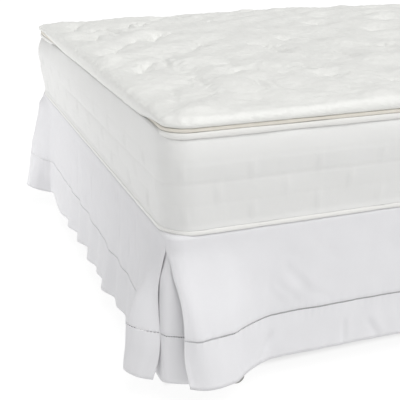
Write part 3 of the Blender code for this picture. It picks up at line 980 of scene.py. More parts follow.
def read_folds(folds: Sequence[Fold], hang: Array) -> list[Array]:
    """Read a table of folds, with smooth cubics between its rows.

    Args:
        folds: The table.
        hang: Places along the top edge.

    Returns:
        The along, out, belly and shoulder of each place.
    """
    table = np.array(folds)
    last = len(table) - 2
    index = np.clip(np.searchsorted(table[:, 0], hang, side="left") - 1, 0, last)
    low, high = table[index], table[index + 1]
    before, after = table[np.maximum(index - 1, 0)], table[np.minimum(index + 2, last + 1)]
    span = (high[:, 0] - low[:, 0])[:, None]
    share = ((hang - low[:, 0])[:, None]) / span
    square, cube = share ** 2, share ** 3
    slope_in = (high - before) / (high[:, :1] - before[:, :1])
    slope_out = (after - low) / (after[:, :1] - low[:, :1])
    values = (low * (2 * cube - 3 * square + 1) + high * (3 * square - 2 * cube)
              + slope_in * span * (cube - 2 * square + share)
              + slope_out * span * (cube - square))
    return [values[:, column] for column in range(1, 5)]


@dataclass
class HangingSheet:
    """What a panel and a corner insert share: a grid of threads with a deep hem."""

    name: str
    seed: int
    flat: Span
    hem: Hem = field(default_factory=Hem)
    thickness: float = 0.0013
    uneven: float = 0.0005           # height of the soft unevenness
    uneven_sizes: Span = (0.05, 0.18)
    uneven_below: float = 0.04       # the fall over which it sets in

    def finish_sheet(self, points: Array, across: Array, fall: Array,
                     outward: Array, extra: Array, hole_row: int,
                     ) -> Piece:
        """Lay the hem and the unevenness on a grid of threads, and give it thickness.

        Args:
            points: The grid, as columns by rows by 3.
            across: Distance of each column across the sheet.
            fall: Distance of each row down from the round.
            outward: The side of the sheet that shows, as one direction.
            extra: Creases, as distances out, columns by rows.
            hole_row: Index of the row of cells that holds the ladder.

        Returns:
            The finished sheet.
        """
        normals = grid_normals(points)
        if (normals * outward).sum() < 0:
            normals = -normals
        wide, deep = across[:, None], fall[None, :]
        free = smooth_step(deep / self.uneven_below)
        lift = self.hem.raised(deep, wide) * (deep > 0)
        ripple = Ripple(self.seed, self.uneven, *self.uneven_sizes)
        lift = lift + ripple.at(wide, deep) * free
        lift = lift + extra
        points = points + normals * lift[..., None]
        open_cells = np.zeros((len(across) - 1, len(fall) - 1), dtype=bool)
        open_cells[1:-1:2, hole_row] = True
        sheet = grid_piece(self.name, points, spread(across, fall), open_cells)
        thicken(sheet, self.thickness)
        return sheet


@dataclass
class SkirtPanel(HangingSheet):
    """One drop panel, from its split corner to its other end."""

    run: Run = FOOT_RUN
    folds: Sequence[Fold] = FOOT_FOLDS
    creases: Sequence[Crease] = FOOT_CREASES
    split: float = math.radians(22)
    hold: float = 0.015              # cloth below the round that stays close to the box
    apex: float = 0.028              # fall at which the panels part at a split
    curl: float = 0.013              # how far a split's edge curls away, and back lower down
    curl_reach: float = 0.032
    early: float = 0.0               # how much more it curls just under the split
    early_at: float = 0.07           # and at which share of the way down to the hem
    early_ease: float = 0.04
    shoulder_full: float = 0.10      # share of the fall at which a shoulder stands out most
    side_hem: float = 0.011          # width of the narrow hem up each side
    side_layer: float = 0.0004       # how far it stands out
    side_ease: float = 0.002         # and the width of its step
    side_start: float = 0.01         # how far under the split it sets in
    round_steps: int = 6             # over the box spring's edge

    def build(self) -> Piece:
        """Build the panel, seam to hem.

        Returns:
            The finished panel.
        """
        start = CORNER_RADIUS * (1 - self.split)
        end = self.run.length - (start if self.run.far_corner else HEAD_SETBACK)
        folds = [self.folds[0]._replace(hang=start), *self.folds[1:-1],
                 self.folds[-1]._replace(hang=end)]
        hang = self.hem.columns(start, end)
        fall, hole_row = self.hem.falls()
        over, over_fall = self._over_the_edge(hang)
        points = np.concatenate([over, self._fall(hang, fall, folds)], axis=1)
        falls = np.concatenate([over_fall, fall])
        outward = np.array([*self.run.out, 0.0])
        extra = self._creases(hang, falls)
        ends = np.minimum(hang - start, end - hang)[:, None]
        step = smooth_step((self.side_hem - ends) / self.side_ease)
        below = smooth_step((falls[None, :] - self.apex) / self.side_start)
        extra = extra + self.side_layer * step * below
        return self.finish_sheet(points, hang, falls, outward, extra,
                                 len(over_fall) + hole_row)

    def _over_the_edge(self, hang: Array) -> tuple[Array, Array]:
        """Lay the part of each thread that lies on the box spring and rounds its edge.

        Args:
            hang: Places along the top edge.

        Returns:
            Points, as columns by rows by 3, and each row's distance down from the round.
        """
        angle = np.linspace(0.0, QUARTER, self.round_steps, endpoint=False)
        inset = np.concatenate([[SEAM_INSET, (SEAM_INSET + EDGE_RADIUS) / 2],
                                EDGE_RADIUS * (1 - np.sin(angle))])
        height = np.concatenate([[SEAM_HEIGHT] * 2,
                                 ROUND_BOTTOM + EDGE_RADIUS * np.cos(angle)])
        along, out = self.run.top(hang[:, None], inset[None, :])
        points = self.run.place(along, out, height[None, :])
        steps = np.linalg.norm(np.diff(points, axis=1), axis=-1).mean(axis=0)
        path = np.concatenate([[0.0], np.cumsum(steps)])
        return points, path - path[-1] - EDGE_RADIUS * QUARTER / self.round_steps

    def _fall(self, hang: Array, fall: Array, folds: Sequence[Fold]) -> Array:
        """Let the threads fall from the round to the hem.

        Args:
            hang: Places along the top edge.
            fall: Distances down from the round.
            folds: The panel's folds, with their ends at the panel's.

        Returns:
            Points, as columns by rows by 3.
        """
        along, out, belly, shoulder = (value[:, None] for value in
                                       read_folds(folds, hang))
        top_along, top_out = self.run.top(hang[:, None], np.zeros((1, 1)))
        beside = bell(hang - hang[0], self.curl_reach)[:, None]
        hold = self.hold + (self.apex - self.hold) * beside
        share = swing((fall[None, :] - hold) / (FALL - hold), belly)
        fallen = fall[None, :] / FALL
        stand = shoulder * smooth_step(fallen / self.shoulder_full) * (1 - fallen)
        parted = np.clip((fall[None, :] - self.apex) / (FALL - self.apex), 0.0, 1.0)
        sooner = (self.early * smooth_step(parted / self.early_ease)
                  * bell(parted - self.early_at, self.early_at))
        curl = self.curl * beside * (np.sin(2 * math.pi * parted) + sooner)
        shift_along, shift_out = along - top_along, out - top_out
        drop = np.sqrt(FALL ** 2 - shift_along ** 2 - shift_out ** 2)
        return self.run.place(
            top_along + shift_along * share + curl * math.cos(self.split),
            top_out + shift_out * share + stand + curl * math.sin(self.split),
            ROUND_BOTTOM - drop * fallen)

    def _creases(self, hang: Array, falls: Array) -> Array:
        """Add up the panel's creases.

        Args:
            hang: Places along the top edge.
            falls: Distances down from the round.

        Returns:
            Distances out, as columns by rows.
        """
        full, fade_out = 0.30, 0.16          # shares of its length, from its middle
        ridge_at, ridge_width, ridge_height = 1.7, 1.1, 0.55       # to the trough's own
        under_edge = 0.01
        across, down = hang[:, None], falls[None, :] + SKIRT_TOP - ROUND_BOTTOM
        total = np.zeros((len(hang), len(falls)))
        for crease in self.creases:
            way = np.subtract(crease.end, crease.start)
            length = math.hypot(*way)
            unit = way / length
            past_along, past_down = across - crease.start[0], down - crease.start[1]
            share = (past_along * unit[0] + past_down * unit[1]) / length
            side = past_along * unit[1] - past_down * unit[0]
            run_off = np.maximum(np.abs(share - 0.5) - full, 0.0) * length
            fade = bell(run_off, fade_out * length)
            trough = bell(side, crease.width)
            ridge = bell(side - ridge_at * crease.width, ridge_width * crease.width)
            total += crease.depth * fade * (ridge_height * ridge - trough)
        return total * (falls[None, :] > under_edge)


@dataclass
class CornerInsert(HangingSheet):
    """The underlay behind one split corner, hung from the back of both panels."""

    side: int = -1                   # -1 for the front corner, 1 for the back one
    reach: float = 0.10              # along each side of the corner
    behind: float = 0.0028           # how far its top edge lies behind the panels
    foot_out: float = 0.0215         # how far its hem stands out at the foot
    side_out: float = 0.0235         # and at the corner's other side
    slant: float = 0.016             # how much farther it does past the corner
    slant_reach: float = 0.050
    slant_from: float = 0.01         # where past its foot side that begins
    hem_radius: float = 0.026
    hold: float = 0.028              # the fall over which it stays under the split
    start: float = 0.25              # share of the fall over which the swing begins
    ease: float = 2.2                # how early the swing is over
    crease: float = 0.0012           # depth of the crease down its middle
    crease_at: float = 0.115         # across the insert
    crease_width: float = 0.010
    crease_below: float = 0.1        # the fall over which it sets in

    def build(self) -> Piece:
        """Build the insert.

        Returns:
            The finished insert.
        """
        across = self.hem.columns(0.0, self.flat[0])
        share = across / self.flat[0]
        tight = self.behind
        top = self._path(share, CORNER_RADIUS - tight, -tight, -tight)
        end = self._path(share, self.hem_radius, self.foot_out, self.side_out)
        past = end[:, 0] + HALF_LENGTH + self.foot_out - self.slant_from
        end[:, 1] += self.side * self.slant * smooth_step(past / self.slant_reach)
        fall, hole_row = self.hem.falls()
        shift = end - top
        drop = np.sqrt(FALL ** 2 - (shift ** 2).sum(axis=-1))
        fallen = np.clip((fall - self.hold) / (FALL - self.hold), 0.0, 1.0)
        sway = (1 - (1 - fallen) ** self.ease) * smooth_step(fallen / self.start)
        plan = top[:, None, :] + shift[:, None, :] * sway[None, :, None]
        height = ROUND_BOTTOM - drop[:, None] * (fall / FALL)[None, :]
        points = np.concatenate([plan, height[..., None]], axis=-1)
        outward = np.array([-1.0, self.side, 0.0])
        extra = (-self.crease * bell(across[:, None] - self.crease_at, self.crease_width)
                 * smooth_step(fall / self.crease_below))
        return self.finish_sheet(points, across, fall, outward, extra, hole_row)

    def _path(self, share: Array, radius: float, foot_out: float, side_out: float,
              ) -> Array:
        """Follow the insert in plan, from the foot round to the long side.

        Args:
            share: Shares of the whole path, from 0 to 1.
            radius: The corner's radius.
            foot_out: How far the path stands out at the foot.
            side_out: And on the long side.

        Returns:
            Plan points.
        """
        centre = np.array([radius - foot_out, radius - side_out])
        foot_reach, side_reach = self.reach - centre[1], self.reach - centre[0]
        lengths = np.array([foot_reach, QUARTER * radius, side_reach])
        path = share * lengths.sum()
        turn = np.clip((path - lengths[0]) / radius, 0.0, QUARTER)
        before = np.maximum(lengths[0] - path, 0.0)
        after = np.maximum(path - lengths[0] - lengths[1], 0.0)
        along = centre[0] - radius * np.cos(turn) + after
        back = centre[1] - radius * np.sin(turn) + before
        return np.stack([-HALF_LENGTH + along, self.side * (HALF_WIDTH - back)], axis=-1)


@dataclass
class SkirtDeck:
    """The flat sheet under the mattress that the panels are sewn to."""

    thickness: float = 0.0016
    rows: int = 62                   # of the grid, from the foot to the head's hem
    columns: int = 48                # and across the bed
    hem: float = 0.02
    flat: Span = (1.46, 1.99)

    def build(self) -> Piece:
        """Build the deck, with a narrow hem at its head end.

        Returns:
            The finished deck.
        """
        inset = SEAM_INSET + GAP
        foot, head = -HALF_LENGTH + inset, HALF_LENGTH - HEAD_SETBACK
        along = np.append(np.linspace(foot, head - self.hem, self.rows), head)
        wide = np.linspace(inset - HALF_WIDTH, HALF_WIDTH - inset, self.columns)
        across, deep = np.meshgrid(wide, along, indexing="ij")
        points = np.stack([deep, across, np.full_like(deep, SEAM_HEIGHT)], axis=-1)
        pattern = np.stack([across, deep], axis=-1)
        deck = grid_piece("deck_sheet", points, pattern)
        thicken(deck, self.thickness)
        return deck


@dataclass
class Skirt:
    """The whole skirt: deck, three panels and two corner inserts."""

    panel_length: float = 0.352      # seam to hem, along the cloth
    foot_width: float = 1.50
    side_width: float = 2.05
    insert_length: float = 0.312
    insert_width: float = 0.20
    side_split: float = math.radians(68)
    back_creases: int = 4            # how many of the near flap's the far side is without

    def build(self) -> None:
        """Build every cloth of the skirt, and dress each."""
        cotton = COTTON.build()
        deck = SkirtDeck()
        self._lay(deck.build(), cotton, "skirt_deck", deck.flat, "laid", "box_spring")
        foot = SkirtPanel("foot_panel", 11, (self.foot_width, self.panel_length),
                          Hem(hole=0.0017))
        self._lay(foot.build(), cotton, "skirt_foot", foot.flat, "hung", "box_spring")
        sides = (("front", 23, FRONT_RUN, SIDE_CREASES),
                 ("back", 37, BACK_RUN, SIDE_CREASES[self.back_creases:]))
        for name, seed, run, creases in sides:
            panel = SkirtPanel(f"{name}_panel", seed, (self.side_width, self.panel_length),
                               Hem(hole=0.0036), run=run, folds=SIDE_FOLDS,
                               creases=creases, split=self.side_split, early=0.45)
            self._lay(panel.build(), cotton, f"skirt_side_{name}", panel.flat, "hung",
                      "box_spring")
        for name, side in (("front", -1), ("back", 1)):
            insert = CornerInsert(f"{name}_underlay", 5 + side,
                                  (self.insert_width, self.insert_length),
                                  Hem(hole=0.0022), side=side)
            self._lay(insert.build(), cotton, f"corner_insert_{name}", insert.flat, "hung",
                      "skirt_foot")

    @staticmethod
    def _lay(piece: Piece, finish: bpy.types.Material, node: str,
             flat: Span, held: str, rests_on: str) -> None:
        """Dress a cloth."""
        dress(piece, finish, node)


# ---- the mattress -----------------------------------------------------------------------
@dataclass(frozen=True)
class Outline:
    """A rectangle with round corners, walked anticlockwise at an even pace."""

    half_x: float
    half_y: float
    radius: float
    arc_steps: int = 14

    def walk(self, spacing: float) -> tuple[Array, Array, Array]:
        """Walk once round the outline, in as many steps whatever its corners are.

        Args:
            spacing: The widest step.

        Returns:
            Plan points, outward directions, and the distance walked to each.
        """
        flat_x, flat_y = 2 * (self.half_x - self.radius), 2 * (self.half_y - self.radius)
        arc = QUARTER * self.radius
        places, ways, walked = [], [], []
        total = 0.0
        sides = ((1, -1, flat_y), (1, 1, flat_x), (-1, 1, flat_y), (-1, -1, flat_x))
        for quarter, (sign_x, sign_y, straight) in enumerate(sides):
            centre = np.array([sign_x * flat_x / 2, sign_y * flat_y / 2])
            turn = quarter * QUARTER
            out = np.array([math.cos(turn), math.sin(turn)])
            ahead = np.array([-out[1], out[0]])
            count = math.ceil(2 * (self.half_x if quarter % 2 else self.half_y) / spacing)
            for step in range(count):
                gone = straight * step / count
                places.append(centre + out * self.radius + ahead * gone)
                ways.append(out)
                walked.append(total + gone)
            total += straight
            centre = centre + ahead * straight
            for step in range(self.arc_steps):
                angle = turn + QUARTER * step / self.arc_steps
                way = np.array([math.cos(angle), math.sin(angle)])
                places.append(centre + way * self.radius)
                ways.append(way)
                walked.append(total + arc * step / self.arc_steps)
            total += arc
        return np.array(places), np.array(ways), np.array(walked)


@dataclass
class MattressCore:
    """The mattress core: a swelling border, lightly quilted in staggered bricks."""

    spacing: float = 0.008
    inset: float = 0.0040            # beside the tapes, in from the mattress's plane
    lean: float = 0.0260             # how fast the border swells out from its lower edge
    even_out: float = 0.30           # and what share of that is lost higher up
    round_in: float = 0.0228         # how far it comes back in at its crown
    crown: float = 0.30              # share of its height over which it does
    straight: float = 0.45           # share of that lost where the pad hangs over it
    turn_out: float = 0.0038         # how far its lower edge turns out over the tape
    turn_share: float = 0.07         # share of its height over which it does
    fall: float = 0.0068             # how far that edge comes down on the tape
    rise: float = 0.0060             # how far its top edge rises beside the other tape
    cover: float = 0.0120            # and how much more over a tape that is tucked away
    edge_share: float = 0.20         # share of its height over which the edges do so
    ledge: float = 0.8               # share of the rise kept on the top beside the edge
    plain_share: float = 0.08        # share of its height at each edge with less quilting
    uneven: Ripple = Ripple(71, 0.0006, 0.09, 0.40)
    quilted_from: float = 0.018      # height of the lowest band's lower edge
    seams: tuple[float, ...] = (0.0640, 0.1120, 0.1580)
    seam_depths: tuple[float, ...] = (0.0005, 0.0014, 0.0006)
    seam_width: float = 0.0034
    swell_width: float = 4           # of the soft hollow beside a seam, to the seam's own
    swell_depth: float = 0.6
    brick: float = 0.153
    brick_start: float = 0.18        # as a share of a brick
    tie: float = 0.0036              # how far the ties between two seams stand out
    tie_width: float = 0.0044
    tie_height: float = 0.021
    rows: int = 46

    def build(self) -> Piece:
        """Build the core as one closed shell.

        Returns:
            The finished core.
        """
        low, high = 2 * LOWER_TAPE + 2 * GAP, CORE_HEIGHT - 2 * UPPER_TAPE - GAP
        share = np.linspace(0.0, 1.0, self.rows + 1)
        heights = low + (high - low) * share
        above = np.clip((share - 1 + self.crown) / self.crown, 0.0, 1.0)
        swell = self.lean * share * (1 - self.even_out * share)
        swell = swell + self.turn_out * smooth_step(1 - share / self.turn_share)
        bottom, out, walked = Outline(HALF_LENGTH, HALF_WIDTH, MATTRESS_CORNER).walk(
            self.spacing)
        top, _, _ = Outline(HALF_LENGTH, HALF_WIDTH, TOP_CORNER).walk(self.spacing)
        lift = self._quilting(walked[:, None], heights[None, :])
        beside = np.minimum(share, 1 - share) / self.plain_share
        lift = lift * smooth_step(beside)[None, :]
        tucked = under_pad(bottom[:, 0], bottom[:, 1])[:, None]
        crown = self.round_in * (1 - self.straight * tucked) * above[None, :] ** 2
        reach = lift + (swell - self.inset)[None, :] - crown
        under = -(2 * LOWER_TAPE + GAP) * np.ones((len(walked), 2))
        over = -(2 * UPPER_TAPE + GAP) * np.ones((len(walked), 2))
        reach = np.concatenate([under, reach, over], axis=1)
        rise = np.concatenate([[0.0, 0.0], share, [1.0, 1.0]])[None, :, None]
        heights = np.concatenate([[0.0, low - GAP], heights, [high + GAP, CORE_HEIGHT]])
        plan = bottom[:, None, :] * (1 - rise) + top[:, None, :] * rise
        plan = plan + out[:, None, :] * reach[..., None]
        cover = self.rise + self.cover * tucked
        near_top = smooth_step((share - (1 - self.edge_share)) / self.edge_share)
        near_foot = smooth_step((self.edge_share - share) / self.edge_share)
        raised = np.concatenate([[0.0, 0.0], near_top, [self.ledge, 0.0]])
        lowered = np.concatenate([[0.0, 0.0], near_foot, [0.0, 0.0]])
        tall = SKIRT_TOP + heights + cover * raised[None, :] - self.fall * lowered[None, :]
        points = np.concatenate([plan, tall[..., None]], axis=-1)
        core = grid_piece("mattress_border", points, spread(walked, heights), ring=True)
        cap_ends(core)
        return core

    def _quilting(self, walked: Array, height: Array) -> Array:
        """Give the border's relief: faint seams along it, and short ties between them.

        Args:
            walked: Distances round the mattress.
            height: Heights above the mattress's underside.

        Returns:
            Distances out.
        """
        pace, drift, drift_pace = 4.1, 3.1, 1.9
        total = self.uneven.at(walked, height)
        stronger = 0.5 + 0.5 * np.sin(walked * pace + drift * np.sin(walked * drift_pace))
        for seam, depth in zip(self.seams, self.seam_depths):
            fine = bell(height - seam, self.seam_width)
            soft = bell(height - seam, self.swell_width * self.seam_width)
            total = total - depth * stronger * (fine + self.swell_depth * soft)
        edges = (self.quilted_from, *self.seams)
        for band, (low, high) in enumerate(zip(edges, edges[1:])):
            walk = walked / self.brick + 0.5 * (band % 2) + self.brick_start
            along = walk % 1.0 - 0.5
            middle = (low + high) / 2
            window = bell(height - middle, self.tie_height)
            total = total + self.tie * window * bell(along * self.brick, self.tie_width)
        return total


@dataclass
class PillowTop:
    """The pillow top: one soft pad, quilted with scattered curved stitch lines."""

    clear: float = PILLOW_TAPE_INSET + PILLOW_TAPE + GAP
    base: float = CORE_HEIGHT + GAP
    over_tape: float = CORE_HEIGHT + 2 * PILLOW_TAPE + 3 * GAP
    cell: float = 0.0062
    # Its section, as insets from the mattress's plane and shares of the way up.
    section: tuple[Place, ...] = (
        (0.0055, 0.09), (0.0005, 0.28), (0.0010, 0.49), (0.0060, 0.68), (0.0150, 0.81),
        (0.0320, 0.90), (0.0720, 0.96), (0.1800, 0.985), (0.3400, 1.0), (0.4400, 1.0))
    corner_droop: float = 0.0215     # how much lower the crown is at the corners
    droop_reach: float = 1.05        # along an edge, from a corner to the full height
    droop_inset: float = 0.34        # and inwards
    far_corner: float = 0.45         # share of its round left at the foot's far corner
    groove: float = 0.0105           # depth of a stitch line
    groove_width: float = 0.0066
    end_pull: float = 0.35           # share of the groove's depth at the line's ends
    dimple: float = 0.0108           # depth of the dimple round a line
    dimple_width: float = 0.026
    lumps: Ripple = Ripple(10, 0.0030, 0.09, 0.26)
    pucker: Ripple = Ripple(13, 0.0021, 0.019, 0.048)      # the small creases in a dimple
    wrinkle: Ripple = Ripple(15, 0.0007, 0.016, 0.042)     # and everywhere
    quilt_inset: float = 0.002       # where, in from the plane, the quilting sets in
    quilt_ease: float = 0.045
    quilt_ring: float = 0.03         # the part of the section that stays without it
    lip: float = 0.016               # where along the section its lower edge stands out
    lip_width: float = 0.010
    lip_free: float = -0.70          # where across the bed that lip ends in front
    sag: float = 0.0105              # how far the lip hangs over the tape at the foot
    overhang: float = 0.0055         # and how far it comes out over it
    bead: float = 0.0011             # how far the shoulder's bead stands out
    bead_at: float = 0.055           # along the section
    bead_width: float = 0.006
    bead_change: Ripple = Ripple(12, 1.0, 0.20, 0.60)
    tucks: float = 0.0010            # height of the small tucks beside it
    tucks_at: float = 0.046
    tucks_width: float = 0.022
    tuck_pattern: Ripple = Ripple(11, 1.0, 0.018, 0.055)
    heave: float = 0.0110            # how much higher it stands past its middle
    heave_from: float = -0.90        # along the bed
    heave_run: float = 1.10
    heave_across: float = 0.30       # its middle across the bed
    heave_width: float = 0.40
    heave_inset: float = 0.01        # in from the plane
    heave_ease: float = 0.25
    scatter_from: float = 0.04       # along the bed, where the lines are scattered ones
    scatter_pitch: float = 0.195
    scatter_shift: float = 0.02      # how far one may lie off its place
    scatter_halves: Span = (0.030, 0.062)       # half its length
    scatter_bends: Span = (0.012, 0.034)
    scatter_pull: float = 0.9
    seed: int = 9

    def _profile(self, ring: Array) -> tuple[Array, Array]:
        """Give the pad's section, from its lower edge over its side to its crown.

        Args:
            ring: Distances along the section.

        Returns:
            Insets from the mattress's plane, and heights above its underside.
        """
        samples, blur = 2400, 20
        under = ((self.clear, 0.0), (self.clear, 0.0))
        inset, share = np.array([*under, *self.section]).T
        height = self.over_tape + (CREST - self.over_tape) * share
        height[0] = self.base
        path = np.concatenate([[0.0], np.cumsum(np.hypot(np.diff(inset),
                                                         np.diff(height)))])
        fine = np.linspace(0.0, path[-1], samples)
        soft = bell(np.linspace(-2, 2, 2 * blur + 1), 1.0)
        soft = soft / soft.sum()
        lines = []
        for values in (inset, height):
            line = np.pad(np.interp(fine, path, values), blur, mode="reflect",
                          reflect_type="odd")
            lines.append(np.convolve(line, soft, mode="valid"))
        inner = ring > path[-2]
        past = lines[0][-1] - fine[-1]
        return (np.where(inner, ring + past, np.interp(ring, fine, lines[0])),
                np.interp(ring, fine, lines[1]))

    def build(self) -> Piece:
        """Build the pad as one grid, drawn in at its corners, and close its underside.

        Returns:
            The finished pad.
        """
        well_in = 0.5                # a distance along the section, past its shoulder
        longer = well_in - float(self._profile(np.array([well_in]))[0][0])
        length_x, length_y = HALF_LENGTH + longer, HALF_WIDTH + longer
        across = np.linspace(-length_x, length_x, 2 * round(length_x / self.cell) + 1)
        deep = np.linspace(-length_y, length_y, 2 * round(length_y / self.cell) + 1)
        wide, tall = np.meshgrid(across, deep, indexing="ij")
        ring = np.minimum(length_x - np.abs(wide), length_y - np.abs(tall))
        inset, height = self._profile(ring)
        x, y = self._round_off(wide, tall, ring, inset, (length_x, length_y))
        at_foot = under_pad(x - inset, y, self.lip_free)
        low = bell(ring - self.lip, self.lip_width)
        height = height - self._droop(x, y, height) - self.sag * at_foot * low
        height = height + (self.heave * smooth_step((x - self.heave_from) / self.heave_run)
                           * bell(y - self.heave_across, self.heave_width)
                           * smooth_step((inset - self.heave_inset) / self.heave_ease))
        x = x - self.overhang * at_foot * low
        points = np.stack([x, y, SKIRT_TOP + height], axis=-1)
        free = smooth_step((inset - self.quilt_inset) / self.quilt_ease)
        free = free * (ring > self.quilt_ring)
        lift = self._quilting(x, y) * free + self._edge(x, y, ring)
        points = points + grid_normals(points) * lift[..., None]
        pad = grid_piece("quilted_top", points, np.stack([wide, tall], axis=-1))
        cap_ends(pad)
        return pad

    def _droop(self, x: Array, y: Array, height: Array) -> Array:
        """Give how far the crown droops towards the corners.

        Args:
            x: Places along the bed.
            y: Places across it.
            height: Heights above the mattress's underside.

        Returns:
            Distances down.
        """
        to_end, to_side = HALF_LENGTH - np.abs(x), HALF_WIDTH - np.abs(y)
        rise = np.maximum(height - self.over_tape, 0.0) / (CREST - self.over_tape)
        return (self.corner_droop * rise
                * (1 - smooth_step(np.hypot(to_end, to_side) / self.droop_reach))
                * (1 - smooth_step(np.minimum(to_end, to_side) / self.droop_inset)))

    def _round_off(self, wide: Array, tall: Array, ring: Array, inset: Array,
                   lengths: Span) -> tuple[Array, Array]:
        """Fit the grid's square rings onto rings with round corners.

        Args:
            wide: First grid coordinates.
            tall: Second grid coordinates.
            ring: Distance of each point in from the grid's edge.
            inset: Inset of each point from the mattress's plane.
            lengths: Half the grid's length and width.

        Returns:
            Plan coordinates.
        """
        tightest, widening, widest, tiny = 0.01, 0.25, 0.16, 1e-9
        far_x, far_y = HALF_LENGTH - inset, HALF_WIDTH - inset
        x = wide * far_x / np.maximum(lengths[0] - ring, tiny)
        y = tall * far_y / np.maximum(lengths[1] - ring, tiny)
        radius = np.maximum(TOP_CORNER - inset, tightest) + ring * widening
        radius = np.minimum(radius, widest)
        radius = radius * np.where((wide < 0) & (tall > 0), self.far_corner, 1.0)
        radius = np.minimum(radius, 0.9 * np.minimum(far_x, far_y) + 1e-6)
        on_x = far_x - np.abs(x) < far_y - np.abs(y)
        short = np.where(on_x, far_y - np.abs(y), far_x - np.abs(x))
        past = np.clip(radius - short, 0.0, None)
        turn = past / radius * (math.pi / 4)
        along_in = radius * (1 - np.cos(turn))
        along_out = radius * np.sin(turn)
        new_main = np.where(on_x, far_x, far_y) - along_in
        new_side = np.where(on_x, far_y, far_x) - radius + along_out
        bent = past > 0
        main_x = np.where(on_x, new_main, new_side)
        main_y = np.where(on_x, new_side, new_main)
        return (np.where(bent, np.sign(x) * main_x, x),
                np.where(bent, np.sign(y) * main_y, y))

    def _stitches(self) -> list[Stitch]:
        """List the lines of the table, and scatter more over the rest of the top.

        Returns:
            The stitch lines.
        """
        draw = np.random.default_rng(self.seed)
        stitches = list(TOP_STITCHES)
        pitch = self.scatter_pitch
        rows, columns = round(BED_WIDTH / pitch), round(BED_LENGTH / pitch)
        for row in range(rows + 1):
            for column in range(columns + 1):
                middle = np.array([(column + 0.5 * (row % 2) - columns / 2) * pitch,
                                   (row - rows / 2) * pitch])
                middle = middle + draw.uniform(-self.scatter_shift, self.scatter_shift, 2)
                way = draw.uniform(0, 2 * math.pi)
                half = draw.uniform(*self.scatter_halves)
                bend = draw.uniform(*self.scatter_bends)
                ahead = np.array([math.cos(way), math.sin(way)])
                aside = np.array([-ahead[1], ahead[0]])
                if middle[0] > self.scatter_from:
                    stitches.append(Stitch(tuple(middle - ahead * half),
                                           tuple(middle + aside * bend),
                                           tuple(middle + ahead * half),
                                           self.scatter_pull))
        return stitches

    def _quilting(self, x: Array, y: Array) -> Array:
        """Give the top's relief: a groove along each stitch line, in a wide dimple.

        Args:
            x: Places along the bed.
            y: Places across it.

        Returns:
            Distances up.
        """
        widths_away, line_points = 2.4, 25
        total = self.lumps.at(x, y)
        groove, dimple = np.zeros_like(x), np.zeros_like(x)
        reach = widths_away * self.dimple_width
        share = np.linspace(0.0, 1.0, line_points)[:, None]
        for stitch in self._stitches():
            start, bend, end = (np.array(on_top(place)) for place in stitch[:3])
            pull = 2 * bend - (start + end) / 2
            line = (start * (1 - share) ** 2 + pull * 2 * share * (1 - share)
                    + end * share ** 2)
            low, high = line.min(axis=0) - reach, line.max(axis=0) + reach
            near = (x > low[0]) & (x < high[0]) & (y > low[1]) & (y < high[1])
            here = np.stack([x[near], y[near]], axis=-1)
            away = np.linalg.norm(here[:, None, :] - line[None], axis=-1)
            closest = away.min(axis=1)
            along = away.argmin(axis=1) / (line_points - 1)
            ends = self.end_pull + (1 - self.end_pull) * np.sin(math.pi * along)
            groove[near] = np.maximum(groove[near], stitch.pull * ends
                                      * bell(closest, self.groove_width))
            dimple[near] = np.maximum(dimple[near], stitch.pull
                                      * bell(closest, self.dimple_width))
        fine = self.pucker.at(x, y) * dimple + self.wrinkle.at(x, y)
        return total + fine - self.groove * groove - self.dimple * dimple

    def _edge(self, x: Array, y: Array, ring: Array) -> Array:
        """Give the bead along the pad's shoulder, and the small tucks beside it.

        Args:
            x: Places along the bed.
            y: Places across it.
            ring: Distances along the pad's section.

        Returns:
            Distances out.
        """
        change = 1 + 0.5 * self.bead_change.at(x, y)
        bead = self.bead * change * bell(ring - self.bead_at, self.bead_width)
        gather = self.tuck_pattern.at(x, y)
        return bead + self.tucks * gather * bell(ring - self.tucks_at, self.tucks_width)


